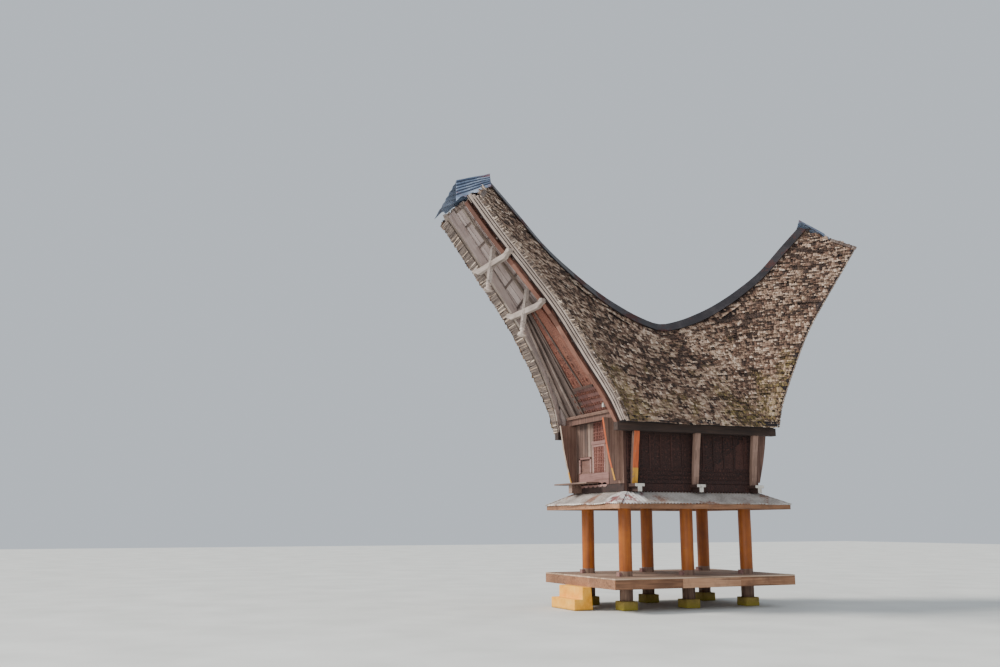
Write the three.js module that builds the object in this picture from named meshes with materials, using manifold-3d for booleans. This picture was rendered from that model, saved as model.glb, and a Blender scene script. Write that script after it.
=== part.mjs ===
import * as THREE from 'three';
import { mergeVertices } from 'three/addons/utils/BufferGeometryUtils.js';
import Module from 'manifold-3d';

const wasm = await Module();
wasm.setup();

// A raised rice barn with a saddle-shaped roof.
// Sizes in millimetres: X across, Y along the ridge with the entrance at -Y, Z up from the ground.
const gap = 0.3;

const platform = { halfWidth: 1510, halfLength: 2150, top: 660, rimBottom: 450 };
const deck = { thickness: 30, overhang: 8 };
const rim = { thickness: 45 };
const bearer = { width: 90, depth: 140 };
const post = { x: 779, rows: [-1482.5, 0, 1482.5], radius: 137, top: 2150, sides: 24 };
const footing = { width: 340, top: 180 };
const steps = { halfWidth: 516, front: 2516, middle: 2333, back: 2130, heel: 2095, rise: 215.5 };

const floorBeam = { width: 150, bottom: 2150, top: 2330 };
const crossBeam = { rows: [-1465, 0, 1465], halfLength: 1380, stem: 100, flange: 220, neck: 2430, top: 2490 };
const room = { halfWidth: 1100, halfLength: 1650, wall: 50, bottom: 2335, sideTop: 3700, endTop: 3944 };
const barnFloor = { thickness: 40 };
const hatch = { left: -720, right: -280, bottom: 2790, top: 3060, thickness: 25, play: 3 };
const ledge = { left: -1400, right: 100, front: 1980, back: 1680, bottom: 2530, thickness: 30 };
const ledgeStub = { left: -860, right: -700, front: 1900, bottom: 2345 };

const sideStrut = {
  width: 130,
  inner: [[2490.3, 1118], [2650, 1128], [2900, 1152], [3200, 1190], [3539.7, 1240]],
  outer: [[2490.3, 1186], [2650, 1212], [2900, 1240], [3200, 1278], [3539.7, 1335]],
};
const endStrut = {
  x: 950,
  thickness: 60,
  top: 3819.7,
  foot: 2560.3,
  edge: [[2560.3, 1790], [2750, 1840], [3000, 1905], [3300, 1965], [3819.7, 2040]],
};
const eavePlate = { inner: 1230, outer: 1390, bottom: 3540, halfLength: 1950 };

const eave = { height: 3700, middleX: 1600, cornerX: 1660, cornerY: 1830 };
const tipHeight = 8130;
// Front edge of the roof at a height: how far forward, its outer half-width and its inner half-width.
const edgeForward = [
  [3700, 1830], [4200, 2010], [5000, 2455], [5880, 3000], [6680, 3620], [7440, 4250], [8130, 4800],
];
const edgeOuter = [[3700, 1660], [4200, 1595], [5000, 1490], [5880, 1375], [6680, 1285], [7440, 1200], [8130, 1140]];
const edgeInner = [
  [3700, 1220], [4200, 1050], [5000, 800], [5600, 715], [6200, 655], [7000, 545], [7600, 485], [8130, 470],
];
const edgeStagger = 100;
const boardShare = 0.25;
const coverShare = 0.36;
const bargeDepth = 200;
// The ridge: its height at a distance from the middle. The first pair makes it level there.
const ridgeLine = [
  [-500, 6160], [0, 6050], [500, 6160], [1000, 6355], [1500, 6610], [2100, 6990],
  [2840, 7550], [3530, 8240], [4130, 8830],
];
const ridgeTurn = 1000;
const ridgeTip = 4130;
const ridgeStrip = { arm: 170, thickness: 25, bite: 1.5 };
const eaveStations = 7;
const edgeStations = 19;
const roofRows = 8;
const fullness = 3.2;

const gable = { foot: [1800, 3950], head: [3250, 6200], thickness: 45, lap: 20 };
const gableBeam = { halfWidth: 1150, front: 1800, bottom: 3820, top: 3958 };
const crossbars = {
  lower: { height: 6100, halfLength: 894, post: [5740, 6600] },
  upper: { height: 7050, halfLength: 961, post: [6630, 7440] },
};
const bar = { height: 110, depth: 90, rise: 60, bite: 3 };
const hanger = { width: 90, depth: 100, lean: 0.13, forward: 20 };
const finial = [
  [0, -190], [16, -186], [30, -165], [36, -140], [26, -112], [48, -92],
  [48, -70], [34, -52], [46, -34], [46, 4], [0, 4],
];
const finialSides = 12;

const prowCap = {
  thickness: 10,
  back: { apex: [4130, 9069], low: [560, 4330, 8561] },
  front: { apex: [4900, 8809], low: [670, 5170, 8105] },
};

const skirt = { halfWidth: 1600, halfLength: 2080, outer: 2085, inner: 2315, thickness: 12 };
const fascia = { inset: 10, thickness: 30, bottom: 1990 };
const ledger = { width: 58, bottom: 2250, inset: 2 };
// A rafter's ends are shares of the way out from the wall.
const rafter = {
  width: 45, depth: 60, outShare: 0.93, inShare: -0.02, alongX: [-779, 0, 779], alongY: [-1000, 0, 1000],
};

const wornWood = finish(0x6f6259, 0.85);
const darkWood = finish(0x4b2f28, 0.8);
const carvedWood = finish(0x5a2f26, 0.8);
const paleWood = finish(0x9b948c, 0.85);
const salmonWood = finish(0x8f5646, 0.8);
const deckWood = finish(0x84685c, 0.85);
const paintedPost = finish(0xc4611c, 0.55);
const ochreConcrete = finish(0xd9a95c, 0.9);
const footingConcrete = finish(0x8b8a5a, 0.95);
const shingle = finish(0x5b4c48, 0.95);
const ridgeMetal = finish(0x3d3436, 0.7, 0.3);
const roofIron = finish(0x98a4b1, 0.45, 0.6);
const skirtIron = finish(0xa89f9b, 0.55, 0.5);
const whitePaint = finish(0xc9c5bd, 0.75);
const strutPaint = finish(0xb9512c, 0.7);

const barn = new THREE.Group();

function finish(color, roughness, metalness = 0) {
  return new THREE.MeshStandardMaterial({ color, roughness, metalness });
}

function place(name, geometry, material) {
  const mesh = new THREE.Mesh(geometry, material);
  mesh.name = name;
  barn.add(mesh);
  return geometry;
}

// A box between two corners.
function block(low, high) {
  const size = high.map((value, axis) => value - low[axis]);
  const box = new THREE.BoxGeometry(...size);
  box.translate(...size.map((value, axis) => low[axis] + value / 2));
  return box;
}

// A copy of a solid, reflected through the plane where the axis is zero.
function mirrored(geometry, axis) {
  const copy = weld(geometry);
  copy.scale(axis === 'x' ? -1 : 1, axis === 'y' ? -1 : 1, 1);
  const index = copy.index.array;
  for (let i = 0; i < index.length; i += 3) {
    [index[i], index[i + 1]] = [index[i + 1], index[i]];
  }
  return copy;
}

function weld(geometry) {
  const bare = geometry.clone();
  bare.deleteAttribute('normal');
  bare.deleteAttribute('uv');
  return mergeVertices(bare, 1e-3);
}

function toSolid(geometry) {
  const welded = weld(geometry);
  const mesh = new wasm.Mesh({
    numProp: 3,
    vertProperties: new Float32Array(welded.attributes.position.array),
    triVerts: new Uint32Array(welded.index.array),
  });
  return new wasm.Manifold(mesh);
}

function toGeometry(solid) {
  const mesh = solid.getMesh();
  const geometry = new THREE.BufferGeometry();
  geometry.setAttribute('position', new THREE.BufferAttribute(mesh.vertProperties, 3));
  geometry.setIndex(new THREE.BufferAttribute(mesh.triVerts, 1));
  return geometry;
}

function joined(...geometries) {
  return toGeometry(geometries.map(toSolid).reduce((sum, solid) => sum.add(solid)));
}

function cut(geometry, ...tools) {
  return toGeometry(tools.map(toSolid).reduce((rest, tool) => rest.subtract(tool), toSolid(geometry)));
}

// Reads a smooth curve through [input, output] pairs.
function along(pairs, input) {
  const last = pairs.length - 1;
  let i = 0;
  while (i < last - 1 && input > pairs[i + 1][0]) i += 1;
  const slope = (at) => {
    const before = pairs[Math.max(at - 1, 0)];
    const after = pairs[Math.min(at + 1, last)];
    return (after[1] - before[1]) / (after[0] - before[0]);
  };
  const [startIn, startOut] = pairs[i];
  const [endIn, endOut] = pairs[i + 1];
  const span = endIn - startIn;
  const t = (input - startIn) / span;
  const rest = 1 - t;
  return startOut + (endOut - startOut) * t * t * (3 - 2 * t)
    + span * (slope(i) * t * rest * rest - slope(i + 1) * t * t * rest);
}

// A closed solid through rings of points. The first half of a ring runs along one side,
// the second half comes back along the other, so each end closes as a strip of quads.
function loft(rings) {
  const count = rings[0].length;
  const half = count / 2;
  const points = rings.flat();
  const faces = [];
  const quad = (a, b, c, d) => faces.push(a, b, c, a, c, d);
  for (let ring = 0; ring < rings.length - 1; ring += 1) {
    for (let k = 0; k < count; k += 1) {
      const next = (k + 1) % count;
      quad(ring * count + k, ring * count + next, (ring + 1) * count + next, (ring + 1) * count + k);
    }
  }
  for (let k = 0; k < half - 1; k += 1) {
    const end = (rings.length - 1) * count;
    quad(k, count - 1 - k, count - 2 - k, k + 1);
    quad(end + k, end + k + 1, end + count - 2 - k, end + count - 1 - k);
  }
  if (volume(points, faces) < 0) faces.reverse();
  const geometry = new THREE.BufferGeometry();
  geometry.setFromPoints(points);
  geometry.setIndex(faces);
  return geometry;
}

function volume(points, faces) {
  let sum = 0;
  for (let i = 0; i < faces.length; i += 3) {
    const [a, b, c] = [points[faces[i]], points[faces[i + 1]], points[faces[i + 2]]];
    sum += a.dot(b.clone().cross(c)) / 6;
  }
  return sum;
}

// A flat outline in the YZ plane, given as [y, z] points, thickened from one X to another.
function plateAcross(outline, fromX, toX) {
  const shape = new THREE.Shape(outline.map(([y, z]) => new THREE.Vector2(y, z)));
  const plate = new THREE.ExtrudeGeometry(shape, { depth: toX - fromX, bevelEnabled: false });
  plate.applyMatrix4(new THREE.Matrix4().makeBasis(
    new THREE.Vector3(0, 1, 0), new THREE.Vector3(0, 0, 1), new THREE.Vector3(1, 0, 0),
  ));
  plate.translate(fromX, 0, 0);
  return plate;
}

// A flat outline in the XZ plane, given as [x, z] points, thickened from one Y to another.
function plateAlong(outline, fromY, toY) {
  const shape = new THREE.Shape(outline.map(([x, z]) => new THREE.Vector2(x, z)));
  const plate = new THREE.ExtrudeGeometry(shape, { depth: toY - fromY, bevelEnabled: false });
  plate.rotateX(Math.PI / 2);
  plate.translate(0, toY, 0);
  return plate;
}

const sides = [['left', -1], ['right', 1]];
const ends = [['front', -1], ['rear', 1]];
const rowNames = ['front', 'middle', 'rear'];

function makeFootingsAndPosts() {
  const half = footing.width / 2;
  post.rows.forEach((y, row) => {
    for (const [side, sign] of sides) {
      const x = sign * post.x;
      const name = `${rowNames[row]}_${side}`;
      place(`footing_${name}`, block([x - half, y - half, 0], [x + half, y + half, footing.top]), footingConcrete);
      const height = post.top - footing.top - 2 * gap;
      const trunk = new THREE.CylinderGeometry(post.radius, post.radius, height, post.sides);
      trunk.rotateX(Math.PI / 2);
      trunk.translate(x, y, footing.top + gap + height / 2);
      place(`post_${name}`, trunk, paintedPost);
    }
  });
}

function makePlatform() {
  const { halfWidth, halfLength, top, rimBottom } = platform;
  const deckBottom = top - deck.thickness;
  const board = block(
    [-halfWidth - deck.overhang, -halfLength - deck.overhang, deckBottom],
    [halfWidth + deck.overhang, halfLength + deck.overhang, top],
  );
  const holes = post.rows.flatMap((y) => sides.map(([, sign]) => {
    const hole = new THREE.CylinderGeometry(post.radius + 2 * gap, post.radius + 2 * gap, 200, post.sides);
    hole.rotateX(Math.PI / 2);
    hole.translate(sign * post.x, y, top);
    return hole;
  }));
  place('platform_deck', cut(board, ...holes), deckWood);

  const frameTop = deckBottom - gap;
  const inside = rim.thickness;
  const ring = cut(
    block([-halfWidth, -halfLength, rimBottom], [halfWidth, halfLength, frameTop]),
    block(
      [-halfWidth + inside, -halfLength + inside, rimBottom - 1],
      [halfWidth - inside, halfLength - inside, frameTop + 1],
    ),
  );
  const reach = halfWidth - inside + 5;
  const bearers = post.rows.map((y) => {
    const sign = y > 0 ? -1 : 1;
    const near = y + sign * (post.radius + 1);
    const far = near + sign * bearer.width;
    return block([-reach, Math.min(near, far), frameTop - bearer.depth], [reach, Math.max(near, far), frameTop]);
  });
  place('platform_frame', joined(ring, ...bearers), deckWood);
}

function makeSteps() {
  const { halfWidth, front, middle, back, heel, rise } = steps;
  const top = platform.rimBottom - gap;
  const outline = [[-front, 0], [-heel, 0], [-back, top], [-middle, top], [-middle, rise], [-front, rise]];
  place('entrance_steps', plateAcross(outline, -halfWidth, halfWidth), ochreConcrete);
}

function makeFloorFrame() {
  const half = floorBeam.width / 2;
  const reach = room.halfLength - ledger.inset - ledger.width - gap;
  for (const [side, sign] of sides) {
    const x = sign * post.x;
    const beam = block([x - half, -reach, floorBeam.bottom], [x + half, reach, floorBeam.top - gap]);
    place(`floor_beam_${side}`, beam, darkWood);
  }
  crossBeam.rows.forEach((y, row) => {
    const { halfLength, stem, flange, neck, top } = crossBeam;
    const section = [
      [y - stem / 2, floorBeam.top], [y + stem / 2, floorBeam.top], [y + stem / 2, neck], [y + flange / 2, neck],
      [y + flange / 2, top], [y - flange / 2, top], [y - flange / 2, neck], [y - stem / 2, neck],
    ];
    place(`cross_beam_${rowNames[row]}`, plateAcross(section, -halfLength, halfLength), whitePaint);
  });
  const x = room.halfWidth - room.wall - gap;
  const y = room.halfLength - room.wall - gap;
  const bottom = crossBeam.top + gap;
  place('barn_floor', block([-x, -y, bottom], [x, y, bottom + barnFloor.thickness]), darkWood);
}

function makeWalls() {
  const { halfWidth, halfLength, wall, bottom, sideTop, endTop } = room;
  const end = block([-halfWidth, halfLength - wall, bottom], [halfWidth, halfLength, endTop]);
  place('rear_wall', end, carvedWood);
  const opening = block(
    [hatch.left, -halfLength - 10, hatch.bottom],
    [hatch.right, -halfLength + wall + 10, hatch.top],
  );
  place('front_wall', cut(mirrored(end, 'y'), opening), carvedWood);
  const hatchPanel = block(
    [hatch.left + hatch.play, -halfLength + 8, hatch.bottom + gap],
    [hatch.right - hatch.play, -halfLength + 8 + hatch.thickness, hatch.top - hatch.play],
  );
  place('hatch_panel', hatchPanel, wornWood);

  const reach = halfLength - wall - gap;
  const outline = [[-reach, bottom]];
  for (const y of crossBeam.rows) {
    const stem = crossBeam.stem / 2 + gap;
    const flange = crossBeam.flange / 2 + gap;
    const neck = crossBeam.neck - gap;
    const top = crossBeam.top + gap;
    outline.push([y - stem, bottom], [y - stem, neck], [y - flange, neck], [y - flange, top]);
    outline.push([y + flange, top], [y + flange, neck], [y + stem, neck], [y + stem, bottom]);
  }
  outline.push([reach, bottom], [reach, sideTop], [-reach, sideTop]);
  const side = plateAcross(outline, halfWidth - wall, halfWidth);
  place('right_wall', side, carvedWood);
  place('left_wall', mirrored(side, 'x'), carvedWood);
}

function makeLedge() {
  const top = ledge.bottom + ledge.thickness;
  const plank = block([ledge.left, -ledge.front, ledge.bottom], [ledge.right, -ledge.back, top]);
  const stub = block(
    [ledgeStub.left, -ledgeStub.front, ledgeStub.bottom],
    [ledgeStub.right, -room.halfLength - gap, ledge.bottom + 5],
  );
  place('entry_ledge', joined(plank, stub), paleWood);
}

function makeStruts() {
  crossBeam.rows.forEach((y, row) => {
    const outline = [
      ...sideStrut.inner.map(([z, x]) => [x, z]),
      ...[...sideStrut.outer].reverse().map(([z, x]) => [x, z]),
    ];
    const strut = plateAlong(outline, y - sideStrut.width / 2, y + sideStrut.width / 2);
    place(`strut_right_${rowNames[row]}`, strut, strutPaint);
    place(`strut_left_${rowNames[row]}`, mirrored(strut, 'x'), strutPaint);
  });
  const back = room.halfLength + gap;
  const outline = [
    [-back, endStrut.foot], [-back, endStrut.top],
    ...[...endStrut.edge].reverse().map(([z, y]) => [-y, z]),
  ];
  const inner = endStrut.x - endStrut.thickness / 2;
  const front = plateAcross(outline, inner, inner + endStrut.thickness);
  for (const [end, endSign] of ends) {
    const strut = endSign < 0 ? front : mirrored(front, 'y');
    place(`strut_${end}_right`, strut, strutPaint);
    place(`strut_${end}_left`, mirrored(strut, 'x'), strutPaint);
  }
}

function makeEavePlates() {
  const { inner, outer, bottom, halfLength } = eavePlate;
  const plate = block([inner, -halfLength, bottom], [outer, halfLength, eave.height - gap]);
  place('eave_plate_right', plate, darkWood);
  place('eave_plate_left', mirrored(plate, 'x'), darkWood);
}

// The rib of the roof that starts at one point of its edge and ends at the ridge, on the right front quarter.
function ribAt(edge, coverX, ridgeY) {
  const ridge = new THREE.Vector3(0, -ridgeY, along(ridgeLine, ridgeY));
  const run = ridge.clone().sub(edge);
  const cover = edge.clone().setX(coverX);
  const underRidge = cover.clone().addScaledVector(run, coverX / edge.x);
  return { edge, cover, ridge, underRidge, run };
}

function eaveRib(share) {
  const edgeX = eave.middleX + (eave.cornerX - eave.middleX) * share * share;
  const edge = new THREE.Vector3(edgeX, -eave.cornerY * share, eave.height);
  const band = along(edgeOuter, eave.height) - along(edgeInner, eave.height);
  const rib = ribAt(edge, edgeX - band * (1 - coverShare), ridgeTurn * share);
  rib.cover.y -= edgeStagger * (1 - coverShare) * share;
  return rib;
}

function edgeRib(height) {
  const share = (height - eave.height) / (tipHeight - eave.height);
  const edge = new THREE.Vector3(along(edgeOuter, height), -along(edgeForward, height), height);
  const innerX = along(edgeInner, height);
  const band = edge.x - innerX;
  const rib = ribAt(edge, innerX + band * coverShare, ridgeTurn + (ridgeTip - ridgeTurn) * share);
  rib.cover.y -= edgeStagger * (1 - coverShare);
  rib.innerX = innerX;
  rib.boardX = innerX + band * boardShare;
  return rib;
}

function edgeHeights() {
  return Array.from({ length: edgeStations }, (_, i) => (
    eave.height + (tipHeight - eave.height) * i / (edgeStations - 1)
  ));
}

// The ribs of one side from the rear tip over the middle to the front tip.
function allRibs() {
  const near = Array.from({ length: eaveStations - 1 }, (_, i) => eaveRib(i / (eaveStations - 1)));
  const front = [...near, ...edgeHeights().map(edgeRib)];
  const rear = front.slice(1).reverse().map((rib) => {
    const copy = {};
    for (const key of ['edge', 'cover', 'ridge', 'underRidge', 'run']) {
      copy[key] = rib[key].clone();
      copy[key].y *= -1;
    }
    return copy;
  });
  return [...rear, ...front];
}

// The point of a rib where the ridge strip's arm ends.
function armShare(rib) {
  return ridgeStrip.arm / rib.run.length();
}

// An edge point averaged with its neighbours along the edge, more so further up the roof,
// so that the roof is full and has no crease where the eave turns up into the prow.
function softEdge(ribs, index, key, share) {
  const spread = Math.max(fullness * share * (1 - share) * 2, 1e-3);
  const sum = new THREE.Vector3();
  let total = 0;
  ribs.forEach((rib, other) => {
    const away = Math.min(Math.abs(other - index), index, ribs.length - 1 - index);
    if (Math.abs(other - index) !== away) return;
    const weight = Math.exp(-away * away / (2 * spread * spread));
    sum.addScaledVector(rib[key], weight);
    total += weight;
  });
  return sum.divideScalar(total);
}

// Points of one face of the roof along a rib, from its lower edge to the ridge.
function faceRow(ribs, index, edgeKey, ridgeKey, shares) {
  const apart = gap / 2 + 0.05;
  return shares.map((share) => {
    const point = softEdge(ribs, index, edgeKey, share).lerp(ribs[index][ridgeKey], share);
    return share === 1 ? point.setX(apart) : point;
  });
}

// The rings of the front or the rear half of the roof, with the middle one set back by half the gap.
function halfOf(rings, endSign) {
  const middle = (rings.length - 1) / 2;
  const half = endSign < 0 ? rings.slice(middle) : rings.slice(0, middle + 1);
  return half.map((ring) => (
    ring === rings[middle] ? ring.map((point) => point.clone().setY(endSign * gap / 2)) : ring
  ));
}

function makeRoofCovers() {
  const ribs = allRibs();
  const rings = ribs.map((rib, index) => {
    const shares = Array.from({ length: roofRows }, (_, i) => i / roofRows);
    shares.push(1 - armShare(rib), 1);
    const outside = faceRow(ribs, index, 'edge', 'ridge', shares);
    const inside = faceRow(ribs, index, 'cover', 'underRidge', shares);
    return [...outside, ...inside.reverse()];
  });
  return Object.fromEntries(ends.map(([end, endSign]) => {
    const cover = place(`roof_cover_${end}_right`, loft(halfOf(rings, endSign)), shingle);
    place(`roof_cover_${end}_left`, mirrored(cover, 'x'), shingle);
    return [end, cover];
  }));
}

function makeRidgeStrips(covers) {
  const rings = allRibs().map((rib) => {
    const toEdge = rib.run.clone().negate().normalize();
    const down = toEdge.clone().setX(0);
    const cosine = toEdge.x;
    const sine = down.length();
    down.normalize();
    const outward = down.clone().multiplyScalar(-cosine).setX(sine);
    const shoulder = rib.ridge.clone().lerp(rib.edge, armShare(rib));
    const armAt = (lift) => shoulder.clone().addScaledVector(outward, lift);
    const apexAt = (lift) => rib.ridge.clone().addScaledVector(down, -lift / cosine);
    const other = (point) => point.clone().setX(-point.x);
    const low = -ridgeStrip.bite;
    const high = ridgeStrip.thickness;
    return [other(armAt(high)), apexAt(high), armAt(high), armAt(low), apexAt(low), other(armAt(low))];
  });
  for (const [end, endSign] of ends) {
    const seat = covers[end].clone().translate(0, 0, 3 * gap);
    place(`ridge_strip_${end}`, cut(loft(halfOf(rings, endSign)), seat, mirrored(seat, 'x')), ridgeMetal);
  }
}

// A barge board of the right front edge. Grow makes it fatter, for cutting what it touches.
function bargeBoard(grow = 0) {
  const rings = edgeHeights().map((height, i) => {
    const rib = edgeRib(height);
    const slant = Math.hypot(rib.run.y, rib.run.z);
    const inward = new THREE.Vector3(0, rib.run.y / slant, rib.run.z / slant);
    const depth = bargeDepth + grow;
    const front = rib.edge.y - edgeStagger - grow;
    const lift = i === 0 ? gap : 0;
    const at = (x, shift) => new THREE.Vector3(x, front, height + lift).addScaledVector(inward, shift);
    const coverAtDepth = rib.cover.x - bargeDepth * rib.edge.x / slant - 4;
    const backX = Math.min(rib.boardX, coverAtDepth);
    return [
      at(rib.innerX - grow, 0), at(rib.boardX + grow, 0),
      at(backX + grow, depth), at(rib.innerX - grow, depth),
    ];
  });
  return loft(rings);
}

function makeBargeBoards() {
  const board = bargeBoard();
  for (const [end, endSign] of ends) {
    const here = endSign < 0 ? board : mirrored(board, 'y');
    place(`barge_board_${end}_right`, here, salmonWood);
    place(`barge_board_${end}_left`, mirrored(here, 'x'), salmonWood);
  }
}

function makeGables() {
  const [footY, footZ] = gable.foot;
  const [headY, headZ] = gable.head;
  const lean = Math.atan2(headY - footY, headZ - footZ);
  const length = Math.hypot(headY - footY, headZ - footZ);
  const steps = 8;
  const right = Array.from({ length: steps + 1 }, (_, i) => {
    const up = length * i / steps;
    return [along(edgeInner, footZ + up * Math.cos(lean)) + gable.lap, up];
  });
  const left = [...right].reverse().map(([x, up]) => [-x, up]);
  const panel = plateAlong([...right, ...left], 0, gable.thickness);
  panel.rotateX(lean);
  panel.translate(0, -footY, footZ);
  const { halfWidth, front, bottom, top } = gableBeam;
  const beam = block([-halfWidth, -front, bottom], [halfWidth, -room.halfLength - gap, top]);
  const grown = bargeBoard(2 * gap);
  const gableFront = cut(joined(panel, beam), grown, mirrored(grown, 'x'));
  place('gable_front', gableFront, carvedWood);
  place('gable_rear', mirrored(gableFront, 'y'), carvedWood);
}

// A carved bar across the open prow, with the post that hangs through it and the turned drop below.
function crossbar({ height, halfLength, post: reach }) {
  const rib = edgeRib(height);
  const step = 50;
  const lean = Math.atan2(along(edgeForward, height + step) - along(edgeForward, height - step), 2 * step);
  const half = bar.height / 2;
  const right = [
    [0, -half], [halfLength * 0.72, -half], [halfLength * 0.86, -half * 0.5], [halfLength, bar.rise - half * 0.2],
    [halfLength - 12, bar.rise + half], [halfLength * 0.82, half * 1.1], [halfLength * 0.7, half],
  ];
  const left = [...right].slice(1).reverse().map(([x, up]) => [-x, up]);
  const beam = plateAlong([...right, ...left], -bar.depth + bar.bite, bar.bite);
  beam.rotateX(lean);
  const front = rib.edge.y - edgeStagger;
  beam.translate(0, front, height);
  const centre = front - bar.depth / 2;
  const [low, high] = reach.map((z) => z - height);
  const stick = block(
    [-hanger.width / 2, -hanger.depth / 2, low],
    [hanger.width / 2, hanger.depth / 2, high],
  );
  const drop = new THREE.LatheGeometry(finial.map(([r, z]) => new THREE.Vector2(r, z)), finialSides);
  drop.rotateX(Math.PI / 2);
  drop.translate(0, 0, low);
  for (const hanging of [stick, drop]) {
    hanging.rotateX(-hanger.lean);
    hanging.translate(0, centre - hanger.forward, height);
  }
  const grown = bargeBoard(gap);
  return cut(joined(beam, stick, drop), grown, mirrored(grown, 'x'));
}

function makeCrossbars() {
  for (const [level, sizes] of Object.entries(crossbars)) {
    const front = crossbar(sizes);
    place(`crossbar_front_${level}`, front, paleWood);
    place(`crossbar_rear_${level}`, mirrored(front, 'y'), paleWood);
  }
}

function makeProwCaps() {
  const ring = ({ apex, low }) => {
    const [x, y, z] = low;
    const top = (drop) => new THREE.Vector3(0, -apex[0], apex[1] - drop);
    const corner = (sign, drop) => new THREE.Vector3(sign * x, -y, z - drop);
    const under = prowCap.thickness;
    return [corner(-1, 0), top(0), corner(1, 0), corner(1, under), top(under), corner(-1, under)];
  };
  const hood = loft([ring(prowCap.back), ring(prowCap.front)]);
  place('prow_cap_front', hood, roofIron);
  place('prow_cap_rear', mirrored(hood, 'y'), roofIron);
}

// How high the underside of the skirt roof is, at a share of the way out from the wall.
function skirtUnder(share) {
  return skirt.inner + (skirt.outer - skirt.inner) * share;
}

function makeSkirtRoof() {
  const { halfWidth, halfLength, thickness } = skirt;
  const innerX = room.halfWidth + gap;
  const innerY = room.halfLength + gap;
  const hips = [[1, -1], [1, 1], [-1, 1], [-1, -1]];
  const rings = hips.map(([signX, signY]) => [
    new THREE.Vector3(signX * innerX, signY * innerY, skirt.inner + thickness),
    new THREE.Vector3(signX * halfWidth, signY * halfLength, skirt.outer + thickness),
    new THREE.Vector3(signX * halfWidth, signY * halfLength, skirt.outer),
    new THREE.Vector3(signX * innerX, signY * innerY, skirt.inner),
  ]);
  const slopes = rings.map((ring, i) => loft([ring, rings[(i + 1) % rings.length]]));
  place('skirt_roof', joined(...slopes), skirtIron);
}

function frameRing(outerX, outerY, width, bottom, top) {
  return cut(
    block([-outerX, -outerY, bottom], [outerX, outerY, top]),
    block([-outerX + width, -outerY + width, bottom - 1], [outerX - width, outerY - width, top + 1]),
  );
}

function makeSkirtFrame() {
  const fasciaX = skirt.halfWidth - fascia.inset;
  const fasciaY = skirt.halfLength - fascia.inset;
  const outer = frameRing(fasciaX, fasciaY, fascia.thickness, fascia.bottom, skirt.outer - gap);
  const ledgerX = room.halfWidth - ledger.inset;
  const ledgerY = room.halfLength - ledger.inset;
  const inner = frameRing(ledgerX, ledgerY, ledger.width, ledger.bottom, floorBeam.top - gap);
  const spanX = skirt.halfWidth - room.halfWidth;
  const spanY = skirt.halfLength - room.halfLength;
  const stick = (xOf, yOf, side) => loft([rafter.outShare, rafter.inShare].map((share) => {
    const top = skirtUnder(share) - 1.5 * gap;
    const centre = new THREE.Vector3(xOf(share), yOf(share), top);
    const reach = side.clone().multiplyScalar(rafter.width / 2);
    const low = new THREE.Vector3(0, 0, -rafter.depth);
    return [
      centre.clone().add(reach), centre.clone().sub(reach),
      centre.clone().sub(reach).add(low), centre.clone().add(reach).add(low),
    ];
  }));
  const sticks = [];
  for (const sign of [-1, 1]) {
    for (const x of rafter.alongX) {
      sticks.push(stick(() => x, (share) => sign * (room.halfLength + spanY * share), new THREE.Vector3(1, 0, 0)));
    }
    for (const y of rafter.alongY) {
      sticks.push(stick((share) => sign * (room.halfWidth + spanX * share), () => y, new THREE.Vector3(0, 1, 0)));
    }
  }
  place('skirt_frame', joined(outer, inner, ...sticks), darkWood);
}

makeFootingsAndPosts();
makePlatform();
makeSteps();
makeFloorFrame();
makeWalls();
makeLedge();
makeStruts();
makeEavePlates();
const covers = makeRoofCovers();
makeRidgeStrips(covers);
makeBargeBoards();
makeGables();
makeCrossbars();
makeProwCaps();
makeSkirtRoof();
makeSkirtFrame();

export default barn;
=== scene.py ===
import math
import random

import bmesh
import bpy
from mathutils import Matrix, Vector, noise
from mathutils.bvhtree import BVHTree


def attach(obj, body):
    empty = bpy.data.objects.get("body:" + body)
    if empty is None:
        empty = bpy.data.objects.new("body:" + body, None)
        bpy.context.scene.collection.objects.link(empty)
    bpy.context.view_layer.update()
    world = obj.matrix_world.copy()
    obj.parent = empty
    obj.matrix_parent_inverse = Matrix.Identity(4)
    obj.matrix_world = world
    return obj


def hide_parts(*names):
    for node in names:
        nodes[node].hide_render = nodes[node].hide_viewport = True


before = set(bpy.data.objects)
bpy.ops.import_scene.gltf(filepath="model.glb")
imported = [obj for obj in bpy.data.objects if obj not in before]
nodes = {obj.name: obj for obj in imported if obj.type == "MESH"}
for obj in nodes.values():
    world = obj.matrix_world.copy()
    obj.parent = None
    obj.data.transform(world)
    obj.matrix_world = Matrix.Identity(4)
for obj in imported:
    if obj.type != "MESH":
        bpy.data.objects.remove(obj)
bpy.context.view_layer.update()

sides = {"left": -1, "right": 1}
ends = {"front": -1, "rear": 1}
up = Vector((0, 0, 1))


# The camera and the studio

view = {
    "place": (18.528, -11.963, 1.693),
    "forward": (-0.90043, 0.39193, 0.18905),
    "rollDegrees": -0.055,
    "lens": 35.64,
    "sensor": 36,
}


def makeCamera():
    data = bpy.data.cameras.new("camera")
    data.lens = view["lens"]
    data.sensor_width = view["sensor"]
    turn = Vector(view["forward"]).to_track_quat("-Z", "Y").to_matrix().to_4x4()
    roll = Matrix.Rotation(math.radians(view["rollDegrees"]), 4, "Z")
    camera = addObject("camera", data)
    camera.matrix_world = Matrix.Translation(view["place"]) @ turn @ roll
    bpy.context.scene.camera = camera


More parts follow.
